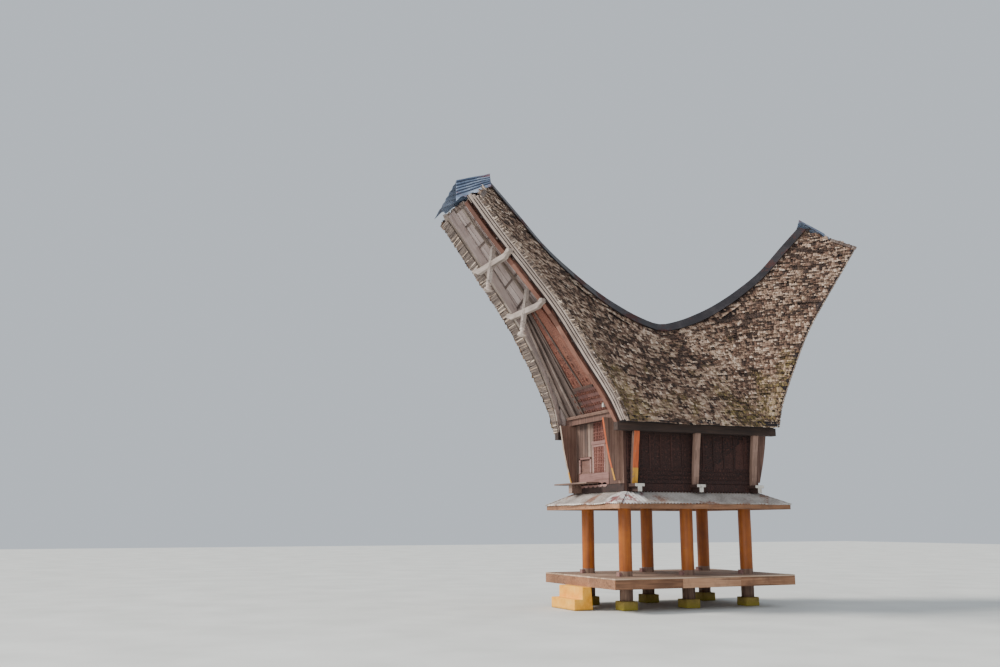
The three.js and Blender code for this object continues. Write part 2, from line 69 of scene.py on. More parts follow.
studio = {
    "sky": (0.80, 0.87, 0.95),
    "skyStrength": 0.75,
    "sun": {"energy": 4.1, "angle": 0.35, "color": (1.0, 0.95, 0.88)},
    "sunDegrees": (52, 0, -28),
    "fill": {"energy": 1800, "size": 14},
    "fillPlace": (16, -22, 9),
    "fillTarget": (0, 0, 4),
    "floorReach": 60,
    "floorHeight": -0.002,
    "floorTones": [(0.3, "cfd0cc"), (0.7, "dddeda")],
}


def makeLamp(name, kind):
    data = bpy.data.lights.new(name, kind)
    for key, value in studio[name].items():
        setattr(data, key, value)
    return addObject(name, data)


def makeStudio():
    world = bpy.data.worlds.new("sky")
    world.use_nodes = True
    background = world.node_tree.nodes["Background"]
    background.inputs["Color"].default_value = (*studio["sky"], 1)
    background.inputs["Strength"].default_value = studio["skyStrength"]
    bpy.context.scene.world = world
    sun = makeLamp("sun", "SUN")
    sun.rotation_euler = [math.radians(angle) for angle in studio["sunDegrees"]]
    fill = makeLamp("fill", "AREA")
    fill.location = studio["fillPlace"]
    fill.rotation_euler = (Vector(studio["fillTarget"]) - fill.location).to_track_quat("-Z", "Y").to_euler()
    bm = bmesh.new()
    bmesh.ops.create_grid(bm, x_segments=1, y_segments=1, size=studio["floorReach"])
    floor = addObject("floor", meshOf("floor", bm))
    floor.location.z = studio["floorHeight"]
    paint = Paint("floorPaint")
    paint.surface(paint.ramp(paint.noise(0.7, 3, 0.5), studio["floorTones"]), 0.9)
    floor.data.materials.append(paint.material)


# Shader work

class Wire:
    # The output of a node. Arithmetic on wires adds Math nodes.
    def __init__(self, paint, socket):
        self.paint = paint
        self.socket = socket

    def math(self, operation, first, second=0):
        return self.paint.node("ShaderNodeMath", {"operation": operation}, {0: first, 1: second})

    def __add__(self, other):
        return self.math("ADD", self, other)

    def __sub__(self, other):
        return self.math("SUBTRACT", self, other)

    def __rsub__(self, other):
        return self.math("SUBTRACT", other, self)

    def __mul__(self, other):
        return self.math("MULTIPLY", self, other)

    def __abs__(self):
        return self.math("ABSOLUTE", self)

    def sine(self):
        return self.math("SINE", self)

    __radd__ = __add__
    __rmul__ = __mul__


def tint(text):
    # A hex colour as the linear values that Blender works in.
    parts = [int(text[i:i + 2], 16) / 255 for i in (0, 2, 4)]
    return (*[c / 12.92 if c <= 0.04045 else ((c + 0.055) / 1.055) ** 2.4 for c in parts], 1)


class Paint:
    # A material being mixed.
    def __init__(self, name):
        self.material = bpy.data.materials.new(name)
        self.material.use_nodes = True
        self.tree = self.material.node_tree
        self.shader = self.tree.nodes["Principled BSDF"]
        self.here = self.node("ShaderNodeTexCoord", output="Object")

    def node(self, kind, settings=None, inputs=None, output=0):
        made = self.tree.nodes.new(kind)
        for key, value in (settings or {}).items():
            if key == "stops":
                self.setStops(made.color_ramp, value)
            else:
                setattr(made, key, value)
        for key, value in (inputs or {}).items():
            self.feed(made.inputs[key], value)
        return Wire(self, made.outputs[output])

    def feed(self, socket, value):
        if isinstance(value, Wire):
            self.tree.links.new(value.socket, socket)
        else:
            socket.default_value = value

    def setStops(self, band, stops):
        while len(band.elements) < len(stops):
            band.elements.new(0.5)
        for element, (place, colour) in zip(band.elements, stops):
            element.position = place
            element.color = tint(colour)

    def noise(self, scale, detail=4, rough=0.55, at=None):
        inputs = {"Vector": at or self.here, "Scale": scale, "Detail": detail, "Roughness": rough}
        return self.node("ShaderNodeTexNoise", {}, inputs)

    def cells(self, scale):
        return self.node("ShaderNodeTexVoronoi", {}, {"Vector": self.here, "Scale": scale}, "Distance")

    def ramp(self, value, stops):
        return self.node("ShaderNodeValToRGB", {"stops": stops}, {"Fac": value})

    def blend(self, share, first, second):
        first, second = [tint(c) if isinstance(c, str) else c for c in (first, second)]
        return self.node("ShaderNodeMix", {"data_type": "RGBA"}, {0: share, 6: first, 7: second}, 2)

    def step(self, value, low, high):
        # Rises smoothly from 0 at low to 1 at high.
        settings = {"interpolation_type": "SMOOTHSTEP"}
        return self.node("ShaderNodeMapRange", settings, {"Value": value, "From Min": low, "From Max": high})

    def axis(self, letter):
        return self.node("ShaderNodeSeparateXYZ", {}, {0: self.here}, letter)

    def island(self):
        # A number of its own for each loose board or shingle.
        return self.node("ShaderNodeNewGeometry", output="Random Per Island")

    def squeezed(self, scale, shift=None):
        # Places stretched along the grain, moved apart for each loose board.
        if scale == "prow":
            # The grain climbs with the prow, alike at both ends.
            x, y, z = [self.axis(letter) for letter in "XYZ"]
            level = self.node("ShaderNodeCombineXYZ", {}, {0: x, 1: -1 * abs(y), 2: z})
            inputs = {"Vector": level, "Rotation": (0.6, 0, 0), "Scale": (1, 1, 20)}
            place = self.node("ShaderNodeMapping", {"vector_type": "TEXTURE"}, inputs)
        else:
            place = self.node("ShaderNodeMapping", {}, {"Vector": self.here, "Scale": scale})
        if shift is None:
            return place
        offset = self.node("ShaderNodeCombineXYZ", {}, {0: shift * 13, 1: shift * 29, 2: shift * 47})
        return self.node("ShaderNodeVectorMath", {"operation": "ADD"}, {0: place, 1: offset})

    def surface(self, colour, rough, metal=0.0, height=None, strength=0.4, depth=0.01):
        self.feed(self.shader.inputs["Base Color"], tint(colour) if isinstance(colour, str) else colour)
        self.feed(self.shader.inputs["Roughness"], rough)
        self.feed(self.shader.inputs["Metallic"], metal)
        if height is not None:
            inputs = {"Height": height, "Strength": strength, "Distance": depth}
            bump = self.node("ShaderNodeBump", {}, inputs, "Normal")
            self.feed(self.shader.inputs["Normal"], bump)
        return self.material


grainRuns = {"x": (0.05, 1, 1), "y": (1, 0.05, 1), "z": (1, 1, 0.05), "prow": "prow"}


def timber(name, tones, run, fineness, bump=0.45, dirt=None, spread=0.3, carved=None):
    # Weathered board: long fibres, blotches, fine splits, and a tone of its own for each board.
    paint = Paint(name)
    board = paint.island()
    lengthwise = paint.squeezed(grainRuns[run], board)
    fibres = paint.noise(fineness, 5, 0.65, lengthwise)
    splits = paint.step(paint.noise(fineness * 0.6, 2, 0.4, lengthwise), 0.60, 0.68)
    blotches = paint.noise(1.4, 4, 0.6)
    tone = fibres * 0.5 + blotches * 0.4 + (board - 0.5) * spread + 0.05
    colour = paint.blend(splits * 0.6, paint.ramp(tone, tones), tones[0][1])
    if dirt:
        stains = paint.step(paint.noise(2.6, 5, 0.65), 0.5, 0.72)
        colour = paint.blend(stains * 0.55, colour, dirt)
    height = fibres - splits * 0.8
    if carved:
        # Curls cut into the board, with paint left on the ridges between the cuts.
        ridges = paint.step((paint.cells(carved) * 26).sine(), 0.1, 0.75)
        colour = paint.blend(ridges * 0.5, colour, tones[-1][1])
        height = height + ridges * 2.5
    return paint.surface(colour, paint.step(fibres, 0, 1) * 0.15 + 0.75, 0.0, height, bump, 0.006)


# Making pieces

weld = 2e-5
flatDegrees = 0.6
edgeDegrees = 40


def addObject(name, data):
    made = bpy.data.objects.new(name, data)
    bpy.context.scene.collection.objects.link(made)
    return made


def meshOf(name, bm):
    mesh = bpy.data.meshes.new(name)
    bm.to_mesh(mesh)
    bm.free()
    return mesh


def finishPiece(name, bm, paints, replaced=(), smooth=False, rounding=0, segments=1):
    bm.normal_update()
    mesh = meshOf(name, bm)
    for paint in paints:
        mesh.materials.append(bpy.data.materials[paint])
    if smooth:
        mesh.shade_smooth()
    piece = addObject(name, mesh)
    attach(piece, "root")
    if replaced:
        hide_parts(*replaced)
    if rounding:
        bevel = piece.modifiers.new("rounding", "BEVEL")
        bevel.width = rounding
        bevel.segments = segments
        bevel.limit_method = "ANGLE"
        bevel.angle_limit = math.radians(edgeDegrees)
    return piece


def thicken(piece, thickness, inside=0):
    # The inner face takes its paint from so many slots further on.
    wall = piece.modifiers.new("wall", "SOLIDIFY")
    wall.thickness = thickness
    wall.offset = -1
    wall.material_offset = inside


def facesOf(verts):
    return {face for vert in verts for face in vert.link_faces}


def paintFaces(faces, paint):
    for face in faces:
        face.material_index = paint


def sized(x, y, z):
    return Matrix.Diagonal((x, y, z, 1))


def turned(side, ahead, out):
    return Matrix((side, ahead, out)).transposed().to_4x4()


def towards(vector, wanted):
    # The vector or its opposite, whichever points the wanted way.
    return vector if vector.dot(wanted) > 0 else -vector


def addBlock(bm, matrix, paint=0):
    paintFaces(facesOf(bmesh.ops.create_cube(bm, size=1, matrix=matrix)["verts"]), paint)


def addBox(bm, corner, opposite, paint=0):
    low, high = [Vector(place) for place in zip(*map(sorted, zip(corner, opposite)))]
    addBlock(bm, Matrix.Translation((low + high) / 2) @ sized(*(high - low)), paint)


def addStick(bm, start, finish, width, depth, facing, paint=0):
    # A straight stick between two points, with its depth along facing.
    run = finish - start
    side = run.cross(facing).normalized()
    out = side.cross(run).normalized()
    place = Matrix.Translation((start + finish) / 2) @ turned(side, run.normalized(), out)
    addBlock(bm, place @ sized(width, run.length, depth), paint)


def addSticks(bm, points, width, depth, facing, paint):
    for start, finish in zip(points, points[1:]):
        addStick(bm, start, finish, width, depth, facing, paint)


def sweep(bm, rings):
    # A closed bar through rings of points.
    loops = []
    for ring in rings:
        verts = [bm.verts.new(point) for point in ring]
        loops.append([bm.edges.new((verts[i - 1], verts[i])) for i in range(len(verts))])
    made = []
    for first, second in zip(loops, loops[1:]):
        made += bmesh.ops.bridge_loops(bm, edges=first + second)["faces"]
    for loop in (loops[0], loops[-1]):
        made += bmesh.ops.contextual_create(bm, geom=loop)["faces"]
    bmesh.ops.recalc_face_normals(bm, faces=made)


def cutOff(bm, place, out):
    # Cuts off what lies beyond a plane.
    everything = bm.verts[:] + bm.edges[:] + bm.faces[:]
    bmesh.ops.bisect_plane(bm, geom=everything, plane_co=place, plane_no=out, clear_outer=True)


def stamp(bm, form, place):
    # Adds a copy of a small mesh at a place.
    copy = form.copy()
    copy.transform(place)
    bm.from_mesh(copy)
    bpy.data.meshes.remove(copy)


def merge(bm, other):
    mesh = meshOf("passing", other)
    bm.from_mesh(mesh)
    bpy.data.meshes.remove(mesh)


def welded(name):
    bm = bmesh.new()
    bm.from_mesh(nodes[name].data)
    bmesh.ops.remove_doubles(bm, verts=bm.verts, dist=weld)
    return bm


def nodeCopy(name):
    # A welded copy of a CAD node, with its flat faces whole.
    bm = welded(name)
    bmesh.ops.dissolve_limit(bm, angle_limit=math.radians(flatDegrees), verts=bm.verts, edges=bm.edges)
    return bm


def dressed(name, paints, pick=lambda face: False, rounding=0.004):
    # A rounded copy of a CAD node, with the second paint on the faces that pick says.
    bm = nodeCopy(name)
    for face in bm.faces:
        face.material_index = int(pick(face))
    finishPiece(f"{name}_dressed", bm, paints, [name], rounding=rounding, segments=2)


def linear(low, high, share):
    return low + (high - low) * share


def along(pairs, value):
    # Reads a smooth curve through [input, output] pairs.
    last = len(pairs) - 1
    i = 0
    while i < last - 1 and value > pairs[i + 1][0]:
        i += 1

    def slope(at):
        before, after = pairs[max(at - 1, 0)], pairs[min(at + 1, last)]
        return (after[1] - before[1]) / (after[0] - before[0])

    (startIn, startOut), (endIn, endOut) = pairs[i], pairs[i + 1]
    span = endIn - startIn
    t = (value - startIn) / span
    rest = 1 - t
    bend = span * (slope(i) * t * rest * rest - slope(i + 1) * t * t * rest)
    return startOut + (endOut - startOut) * t * t * (3 - 2 * t) + bend


# The roof's shape, as the carpenter sets it out

roof = {
    "eaveHeight": 3.7, "middleX": 1.6, "cornerX": 1.66, "cornerY": 1.83, "tipHeight": 8.13,
    # The front edge by height: how far forward it is, and where its outer and inner sides are.
    "forward": [(3.7, 1.83), (4.2, 2.01), (5.0, 2.455), (5.88, 3.0), (6.68, 3.62), (7.44, 4.25), (8.13, 4.8)],
    "outer": [(3.7, 1.66), (4.2, 1.595), (5.0, 1.49), (5.88, 1.375), (6.68, 1.285), (7.44, 1.2),
              (8.13, 1.14)],
    "inner": [(3.7, 1.22), (4.2, 1.05), (5.0, 0.8), (5.6, 0.715), (6.2, 0.655), (7.0, 0.545), (7.6, 0.485),
              (8.13, 0.47)],
    "stagger": 0.1, "coverShare": 0.36,
    # The ridge by the distance from the middle of the house.
    "ridge": [(-0.5, 6.16), (0, 6.05), (0.5, 6.16), (1.0, 6.355), (1.5, 6.61), (2.1, 6.99), (2.84, 7.55),
              (3.53, 8.24), (4.13, 8.83)],
    "ridgeTurn": 1.0, "ridgeTip": 4.13, "eaveStations": 7, "edgeStations": 19, "fullness": 3.2,
}


def makeRib(edge, coverX, ridgeY, back):
    ridge = Vector((0, -ridgeY, along(roof["ridge"], ridgeY)))
    cover = Vector((coverX, edge.y, edge.z))
    underRidge = cover + (ridge - edge) * (coverX / edge.x)
    cover.y -= back
    return {"edge": edge, "cover": cover, "ridge": ridge, "underRidge": underRidge}


def eaveRib(share):
    edgeX = roof["middleX"] + (roof["cornerX"] - roof["middleX"]) * share * share
    edge = Vector((edgeX, -roof["cornerY"] * share, roof["eaveHeight"]))
    band = roof["outer"][0][1] - roof["inner"][0][1]
    rest = 1 - roof["coverShare"]
    return makeRib(edge, edgeX - band * rest, roof["ridgeTurn"] * share, roof["stagger"] * rest * share)


def edgeRib(height):
    share = (height - roof["eaveHeight"]) / (roof["tipHeight"] - roof["eaveHeight"])
    edge = Vector((along(roof["outer"], height), -along(roof["forward"], height), height))
    innerX = along(roof["inner"], height)
    ridgeY = roof["ridgeTurn"] + (roof["ridgeTip"] - roof["ridgeTurn"]) * share
    coverX = innerX + (edge.x - innerX) * roof["coverShare"]
    rib = makeRib(edge, coverX, ridgeY, roof["stagger"] * (1 - roof["coverShare"]))
    rib["innerX"] = innerX
    return rib


def edgeHeights(count):
    return [linear(roof["eaveHeight"], roof["tipHeight"], i / (count - 1)) for i in range(count)]


def allRibs():
    near = [eaveRib(i / (roof["eaveStations"] - 1)) for i in range(roof["eaveStations"] - 1)]
    front = near + [edgeRib(height) for height in edgeHeights(roof["edgeStations"])]
    flip = Vector((1, -1, 1))
    keys = ("edge", "cover", "ridge", "underRidge")
    rear = [{key: rib[key] * flip for key in keys} for rib in front[:0:-1]]
    return rear + front


ribs = allRibs()
tipStation = len(ribs) - 1
faceLines = {}


def faceLine(key, share):
    # The points of one face of the right side at a share of the way up each rib.
    if (key, share) in faceLines:
        return faceLines[key, share]
    top = {"edge": "ridge", "cover": "underRidge"}[key]
    spread = max(roof["fullness"] * share * (1 - share) * 2, 1e-3)
    line = []
    for index, rib in enumerate(ribs):
        reach = min(index, tipStation - index)
        total, summed = 0, Vector((0, 0, 0))
        for other in range(index - reach, index + reach + 1):
            weight = math.exp(-(other - index) ** 2 / (2 * spread * spread))
            total += weight
            summed += ribs[other][key] * weight
        line.append((summed / total).lerp(rib[top], share))
    faceLines[key, share] = line
    return line


def facePoint(key, station, share):
    line = faceLine(key, share)
    below = min(int(station), tipStation - 1)
    return line[below].lerp(line[below + 1], station - below)


def flipped(point, side, end):
    # A point of the right front quarter, carried to another quarter.
    return Vector((point.x * sides[side], point.y * -ends[end], point.z))


# Split bamboo shingles

shingles = {
    "width": 0.062, "length": 0.12, "rise": 0.036, "thickness": 0.009, "arch": 0.008, "tilt": 0.25,
    "skewDegrees": 8, "missing": 0.02, "wave": 0.022, "sunk": 0.013, "swell": 0.03, "seed": 11,
    # How much shingles differ, as shares of their size.
    "widths": (0.75, 1.15), "lengths": (0.8, 1.15), "tilts": (0.4, 1.5), "lap": 0.96, "leastRun": 0.3,
    # The widest courses, at the corners of the eave, keep within the solid's reach.
    "inset": 0.005, "insetFrom": 1.63,
    "firstRise": 0.012, "lookAhead": 0.03, "layer": 0.045, "ridgeMargin": 0.13,
    # How far the courses are lifted at the ridge, by the distance from the middle.
    "lift": [(-0.5, 0.09), (0, 0), (0.5, 0.09), (1.0, 0.23), (1.5, 0.38), (2.1, 0.55), (2.84, 0.75),
             (3.53, 0.9), (4.13, 1.0), (5.0, 1.1)],
    # How much of a shingle's tone runs along its course, where the tones part, and past which a stretch turns
    # darker as painted shade under the butts above.
    "streak": 0.6, "tones": [0.33, 0.49, 0.67], "shadowLine": 0.24,
    # Places under the ridge where a course has come loose: from, to, and how far below the ridge.
    "lifted": {"right": [(-2.4, -1.7, 0.3), (-1.4, -0.85, 0.3), (1.6, 2.1, 0.3)],
               "left": [(-1.9, -1.4, 0.3)]},
    "gap": 0.09, "gapDepth": 0.03, "liftedOut": 0.022, "liftedTilt": 0.3, "liftedLap": 0.6,
    # How fast each kind of change comes along the roof and up it, and a number that sets it apart.
    "drifts": {"wave": (1.7, 3.1, 4.2), "sunk": (1.4, 23, 1.5), "streak": (7.5, 61, 7.7),
               "cloud": (1.3, 1.6, 2.2), "line": (1.5, 97, 3.1)},
    # Where the roof faces less than this outwards or upwards, there are no shingles.
    "leastOut": 0.15, "leastUp": 0.02,
}


def drift(kind, y, level):
    alongRate, upRate, apart = shingles["drifts"][kind]
    return noise.noise(Vector((y * alongRate, level * upRate, apart)))


def courseHeight(level, y):
    # The height of a course at a place along the ridge: level at the eave, lifted with the ridge above.
    reach = min(abs(y), roof["ridgeTip"])
    ridgeRise = along(roof["ridge"], reach) - roof["eaveHeight"]
    share = 1 - along(shingles["lift"], abs(y)) / ridgeRise
    wave = shingles["wave"] * drift("wave", y, level)
    return roof["eaveHeight"] + (level - roof["eaveHeight"]) / share + wave


def roofTree(side):
    bm = bmesh.new()
    for end in ends:
        bm.from_mesh(nodes[f"roof_cover_{end}_{side}"].data)
    tree = BVHTree.FromBMesh(bm)
    bm.free()
    return tree


def roofSpot(tree, sign, y, z):
    spot, out, _, _ = tree.ray_cast(Vector((3 * sign, y, z)), Vector((-sign, 0, 0)))
    if spot is None or out.x * sign < shingles["leastOut"] or out.z < shingles["leastUp"]:
        return None
    return spot, out


def roofFrame(tree, sign, y, heightAt):
    # A point on the roof, the way out from it and the way along the roof, or nothing past its edges.
    here, ahead = [roofSpot(tree, sign, at, heightAt(at)) for at in (y, y + shingles["lookAhead"])]
    return here and ahead and (*here, (ahead[0] - here[0]).normalized())


def shingleForm(paint):
    # One split cane, one unit wide and long, arched across, with its lower end and its sides showing.
    bm = bmesh.new()
    verts = bmesh.ops.create_grid(bm, x_segments=2, y_segments=1, size=0.5)["verts"]
    for vert in verts:
        vert.co.z = 0 if abs(vert.co.x) < 0.1 else -shingles["arch"]
    paintFaces(bm.faces, paint)
    rim = [edge for edge in bm.edges if edge.is_boundary and min(vert.co.y for vert in edge.verts) < 0]
    for part in bmesh.ops.extrude_edge_only(bm, edges=rim)["geom"]:
        if isinstance(part, bmesh.types.BMVert):
            part.co.z -= shingles["thickness"]
        elif isinstance(part, bmesh.types.BMFace):
            part.material_index = paint + 1
    bmesh.ops.recalc_face_normals(bm, faces=bm.faces)
    if max(bm.faces, key=lambda face: abs(face.normal.z)).normal.z < 0:
        bmesh.ops.reverse_faces(bm, faces=bm.faces)
    return meshOf("shingleForm", bm)


def addShingle(bm, form, place, sunk, dice, lifted=0):
    spot, out, tangent = place
    upSlope = towards(out.cross(tangent).normalized(), up)
    across = upSlope.cross(out).normalized()
    length = shingles["length"] * dice.uniform(*shingles["lengths"])
    width = shingles["width"] * dice.uniform(*shingles["widths"])
    tilt = shingles["tilt"] * dice.uniform(*shingles["tilts"]) + lifted
    skew = math.radians(shingles["skewDegrees"]) * dice.uniform(-1, 1)
    centre = spot + upSlope * (length * 0.5 * math.cos(tilt)) - out * (length * 0.5 * math.sin(tilt))
    inset = shingles["inset"] * (abs(spot.x) > shingles["insetFrom"])
    centre -= out * (dice.uniform(0, shingles["sunk"]) + inset + sunk)
    turn = turned(across, upSlope, out) @ Matrix.Rotation(-tilt, 4, "X") @ Matrix.Rotation(skew, 4, "Z")
    stamp(bm, form, Matrix.Translation(centre) @ turn @ sized(width, length, 1))


def shingleTone(y, level, dice):
    # Which tone a shingle has: shingles of one course are often alike.
    streak = 0.5 + 0.8 * drift("streak", y, level)
    cloud = 0.2 * drift("cloud", y, level)
    line = drift("line", y, level)
    # Painted shade: stretches of some courses are set a step darker, as lines of shadow under the butts
    # above.
    tone = linear(dice.random(), streak, shingles["streak"]) + cloud - 0.3 * (line > shingles["shadowLine"])
    return sum(tone > limit for limit in shingles["tones"])


def isLoose(side, y, height, ridgeHeight):
    # Whether a place lies in the shade under a course that has come loose.
    return any(start < y < stop and 0 < ridgeHeight - drop - height < shingles["gap"]
               for start, stop, drop in shingles["lifted"][side])


def layShingles(side):
    sign = sides[side]
    tree = roofTree(side)
    dice = random.Random(shingles["seed"] + sign)
    bm = bmesh.new()
    forms = [shingleForm(2 * index) for index in range(len(caneTones))]
    end = roof["forward"][-1][1]
    level = roof["eaveHeight"] + shingles["firstRise"]
    while level < along(roof["ridge"], roof["ridgeTip"]):
        y = -end + dice.uniform(0, shingles["width"])
        while y < end:
            height = courseHeight(level, y)
            ridgeHeight = along(roof["ridge"], min(abs(y), roof["ridgeTip"]))
            place = roofFrame(tree, sign, y, lambda at: courseHeight(level, at))
            if place is None or height > ridgeHeight - shingles["ridgeMargin"]:
                y += shingles["width"] * 0.5
                continue
            if dice.random() > shingles["missing"]:
                sunk = max(drift("sunk", y, level), 0) * shingles["swell"]
                tone = shingleTone(y, level, dice)
                if isLoose(side, y, height, ridgeHeight):
                    # Painted shade: shingles under a loose course take the darkest tone, for the shadow the
                    # loose course casts.
                    sunk, tone = shingles["gapDepth"], 0
                addShingle(bm, forms[tone], place, sunk, dice)
            y += shingles["width"] * max(place[2].y, shingles["leastRun"]) * shingles["lap"]
        level += shingles["rise"]
    for start, stop, drop in shingles["lifted"][side]:
        y = start
        while y < stop:
            place = roofFrame(tree, sign, y, lambda at: along(roof["ridge"], abs(at)) - drop)
            form = forms[dice.choice((1, 2, 3))]
            addShingle(bm, form, place, -shingles["liftedOut"], dice, shingles["liftedTilt"])
            y += shingles["width"] * shingles["liftedLap"]
    for form in forms:
        bpy.data.meshes.remove(form)
    print("shingles", side, len(bm.faces) // 6)
    paints = [name + part for name, *_ in caneTones for part in ("", "End")]
    finishPiece(f"shingles_{side}", bm, paints)


def layUnderRoof(side):
    # The body of the roof, drawn in under the shingles and painted near black: painted shade where it shows
    # between shingles and in gaps.
    for end in ends:
        node = f"roof_cover_{end}_{side}"
        bm = welded(node)
        bm.normal_update()
        for vert in bm.verts:
            outer = min(max(vert.normal.x * sides[side] * 4, 0), 1)
            vert.co -= vert.normal * shingles["layer"] * outer
        finishPiece(f"under_roof_{end}_{side}", bm, ["underRoofShade"], [node])


def makeShinglePaint(name, stops):
    paint = Paint(name)
    own = paint.island()
    blotches = paint.noise(0.9, 5, 0.65)
    grime = paint.noise(18, 4, 0.6)
    colour = paint.ramp(own * 0.35 + blotches * 0.35 + grime * 0.3, stops)
    # Moss gathers low down and behind the front edge.
    y, z = paint.axis("Y"), paint.axis("Z")
    behind = z * 0.68 - 0.69 - abs(y)
    near = (1 - paint.step(behind, 0.15, 1.1)) * (1 - paint.step(z, 4.4, 6.2))
    patches = paint.step(paint.noise(1.6, 5, 0.7) + near * 0.2 - paint.step(z, 3.7, 6.6) * 0.16, 0.46, 0.62)
    moss = patches * paint.step(paint.noise(16, 3, 0.6), 0.36, 0.6)
    colour = paint.blend(moss * 0.62, colour, paint.blend(own, "4f4420", "a38d4c"))
    return paint.surface(colour, 0.9, 0.0, paint.noise(60, 3, 0.6), 0.5, 0.004)


caneTones = [
    # The tones of a shingle's face and of its cut end, from dark to light. The ends are lighter than the
    # faces: partly the paler cut cane, partly a painted highlight where light catches the ends.
    ("blackCane", ("221612", "392820", "584337"), ("2b1f1a", "5b4639", "8a7566")),
    ("brownCane", ("443027", "684c3d", "8e7160"), ("46352b", "826a59", "b49d8b")),
    ("greyCane", ("66503f", "967a66", "b99f8b"), ("69564a", "ad9683", "e0cdb9")),
    ("silverCane", ("8d7563", "b89d88", "dcc6b2"), ("957e6a", "d2bca7", "f6e6d6")),
]


def makeEndPaint(name, stops):
    # Cut ends, set lighter than the faces: partly the paler cut cane, partly a painted highlight where light
    # catches them.
    paint = Paint(name)
    tone = paint.island() * 0.85 + paint.noise(14, 3, 0.6) * 0.5 - 0.2
    return paint.surface(paint.ramp(tone, stops), 0.85)


def makeUnderPaint():
    paint = Paint("underRoofShade")
    # Painted shade: near black, for the shade between and under the shingles.
    tone = paint.noise(8, 5, 0.7)
    colour = paint.ramp(tone, [(0.3, "140e10"), (0.6, "2c2224"), (0.8, "473a38")])
    return paint.surface(colour, 0.95, 0.0, tone, 0.6, 0.02)


# Boards along the front edge of the roof

edgeBoards = {
    # Each strip: its inner and outer share of the band, how far it stands out, how deep it is, and how
    # far it runs on past the tip.
    "strips": [(0.42, 0.53, 0.004, 0.05, 0.08), (0.58, 0.665, 0.0, 0.04, 0.05),
               (0.715, 0.79, -0.004, 0.04, 0.01)],
    "stations": 34, "lowGap": 0.02,
    # Where the ends of the shingle layers begin across the band, how far out, and how ragged they end.
    "from": {"right": 0.81, "left": 0.13}, "out": {"right": 0.012, "left": 0.035},
    "ragged": {"right": 0.012, "left": 0.045}, "to": 0.995, "finishOut": 0.008, "limitX": 1.642,
    "fromSpread": 0.03, "tilt": 0.02, "lean": (0.15, 0.4), "lookAhead": 0.05, "sizes": (0.8, 1.2),
    "step": 0.016, "lap": 0.85, "width": 0.02, "depth": 0.012, "paleShare": 0.2, "tipGap": 0.03, "seed": 8,
}


def edgeSpot(height, share, out=0.0):
    # A point of the front edge of the right front quarter.
    rib = edgeRib(height)
    run = rib["ridge"] - rib["edge"]
    inward = Vector((0, run.y, run.z)).normalized()
    x = linear(rib["innerX"], rib["edge"].x, share)
    return Vector((x, rib["edge"].y - roof["stagger"] * (1 - share), height)) - inward * out


def layEdgeLayers(end, side):
    # The ends of the shingle layers, seen across the front edge.
    dice = random.Random(edgeBoards["seed"] + sides[side] * 3 + ends[end])
    bm = bmesh.new()
    height = roof["eaveHeight"] + edgeBoards["lowGap"]
    while height < roof["tipHeight"] - edgeBoards["tipGap"]:
        tilt = dice.uniform(-edgeBoards["tilt"], edgeBoards["tilt"])
        inner = edgeBoards["from"][side] + dice.uniform(0, edgeBoards["fromSpread"])
        start = edgeSpot(height, inner, edgeBoards["out"][side])
        finish = edgeSpot(height + tilt, edgeBoards["to"], edgeBoards["finishOut"])
        reach = (finish - start).normalized()
        ragged = edgeBoards["ragged"][side] * dice.random() ** 3
        finish += reach * min(ragged, max(edgeBoards["limitX"] - finish.x, 0))
        ahead = edgeSpot(height + edgeBoards["lookAhead"], 1.0) - edgeSpot(height, 1.0)
        facing = towards(ahead.cross(reach).normalized(), Vector((0, -1, 0)))
        facing = (facing + ahead.normalized() * dice.uniform(*edgeBoards["lean"])).normalized()
        start, finish, facing = [flipped(point, side, end) for point in (start, finish, facing)]
        width = edgeBoards["width"] * dice.uniform(*edgeBoards["sizes"])
        pale = int(dice.random() < edgeBoards["paleShare"])
        addStick(bm, start, finish, width, edgeBoards["depth"], facing, pale)
        height += edgeBoards["step"] * dice.uniform(*edgeBoards["sizes"]) * edgeBoards["lap"]
    finishPiece(f"edge_layers_{end}_{side}", bm, ["edgeCane", "greyCaneEnd"])


def makeEdgeBoards(end, side):
    bm = bmesh.new()
    for inner, outer, out, deep, past in edgeBoards["strips"]:
        heights = edgeHeights(edgeBoards["stations"])
        heights[0] += edgeBoards["lowGap"]
        heights[-1] += past
        corners = ((inner, out), (outer, out), (outer, -deep), (inner, -deep))
        rings = [[edgeSpot(height, *corner) for corner in corners] for height in heights]
        sweep(bm, [[flipped(point, side, end) for point in ring] for ring in rings])
    finishPiece(f"edge_boards_{end}_{side}", bm, ["paleEdgeWood"], rounding=0.008, segments=2)


# The underside of the prows

soffit = {
    # Boards along the prow: how many, where they start, and the shares of the way up that they fill.
    "boards": 9, "gap": 0.008, "from": 27, "steps": 26, "tipGap": 0.15, "low": 0.05, "span": 0.92,
    "near": 0.002, "far": 0.012, "stagger": 0.004, "lookAhead": 0.5, "lookAcross": 0.05,
    "battenFrom": 1.0, "battenStep": 1.7, "battenWidth": 0.04, "battenDepth": 0.03, "battenDrop": 0.03,
    "battenShares": (0.05, 0.35, 0.65, 0.95),
    "rafterShare": 0.5, "rafterWidth": 0.06, "rafterDepth": 0.05, "rafterDrop": 0.045,
}


def soffitSpot(station, share, side, end, drop):
    # A point under the roof, hanging below it by drop.
    spot = facePoint("cover", station, share)
    step, part = soffit["lookAhead"], soffit["lookAcross"]
    ahead = facePoint("cover", min(station + step, tipStation), share)
    ahead -= facePoint("cover", station - step, share)
    across = facePoint("cover", station, min(share + part, 1)) - facePoint("cover", station, share - part)
    out = towards(ahead.cross(across).normalized(), -up)
    return flipped(spot + out * drop, side, end)


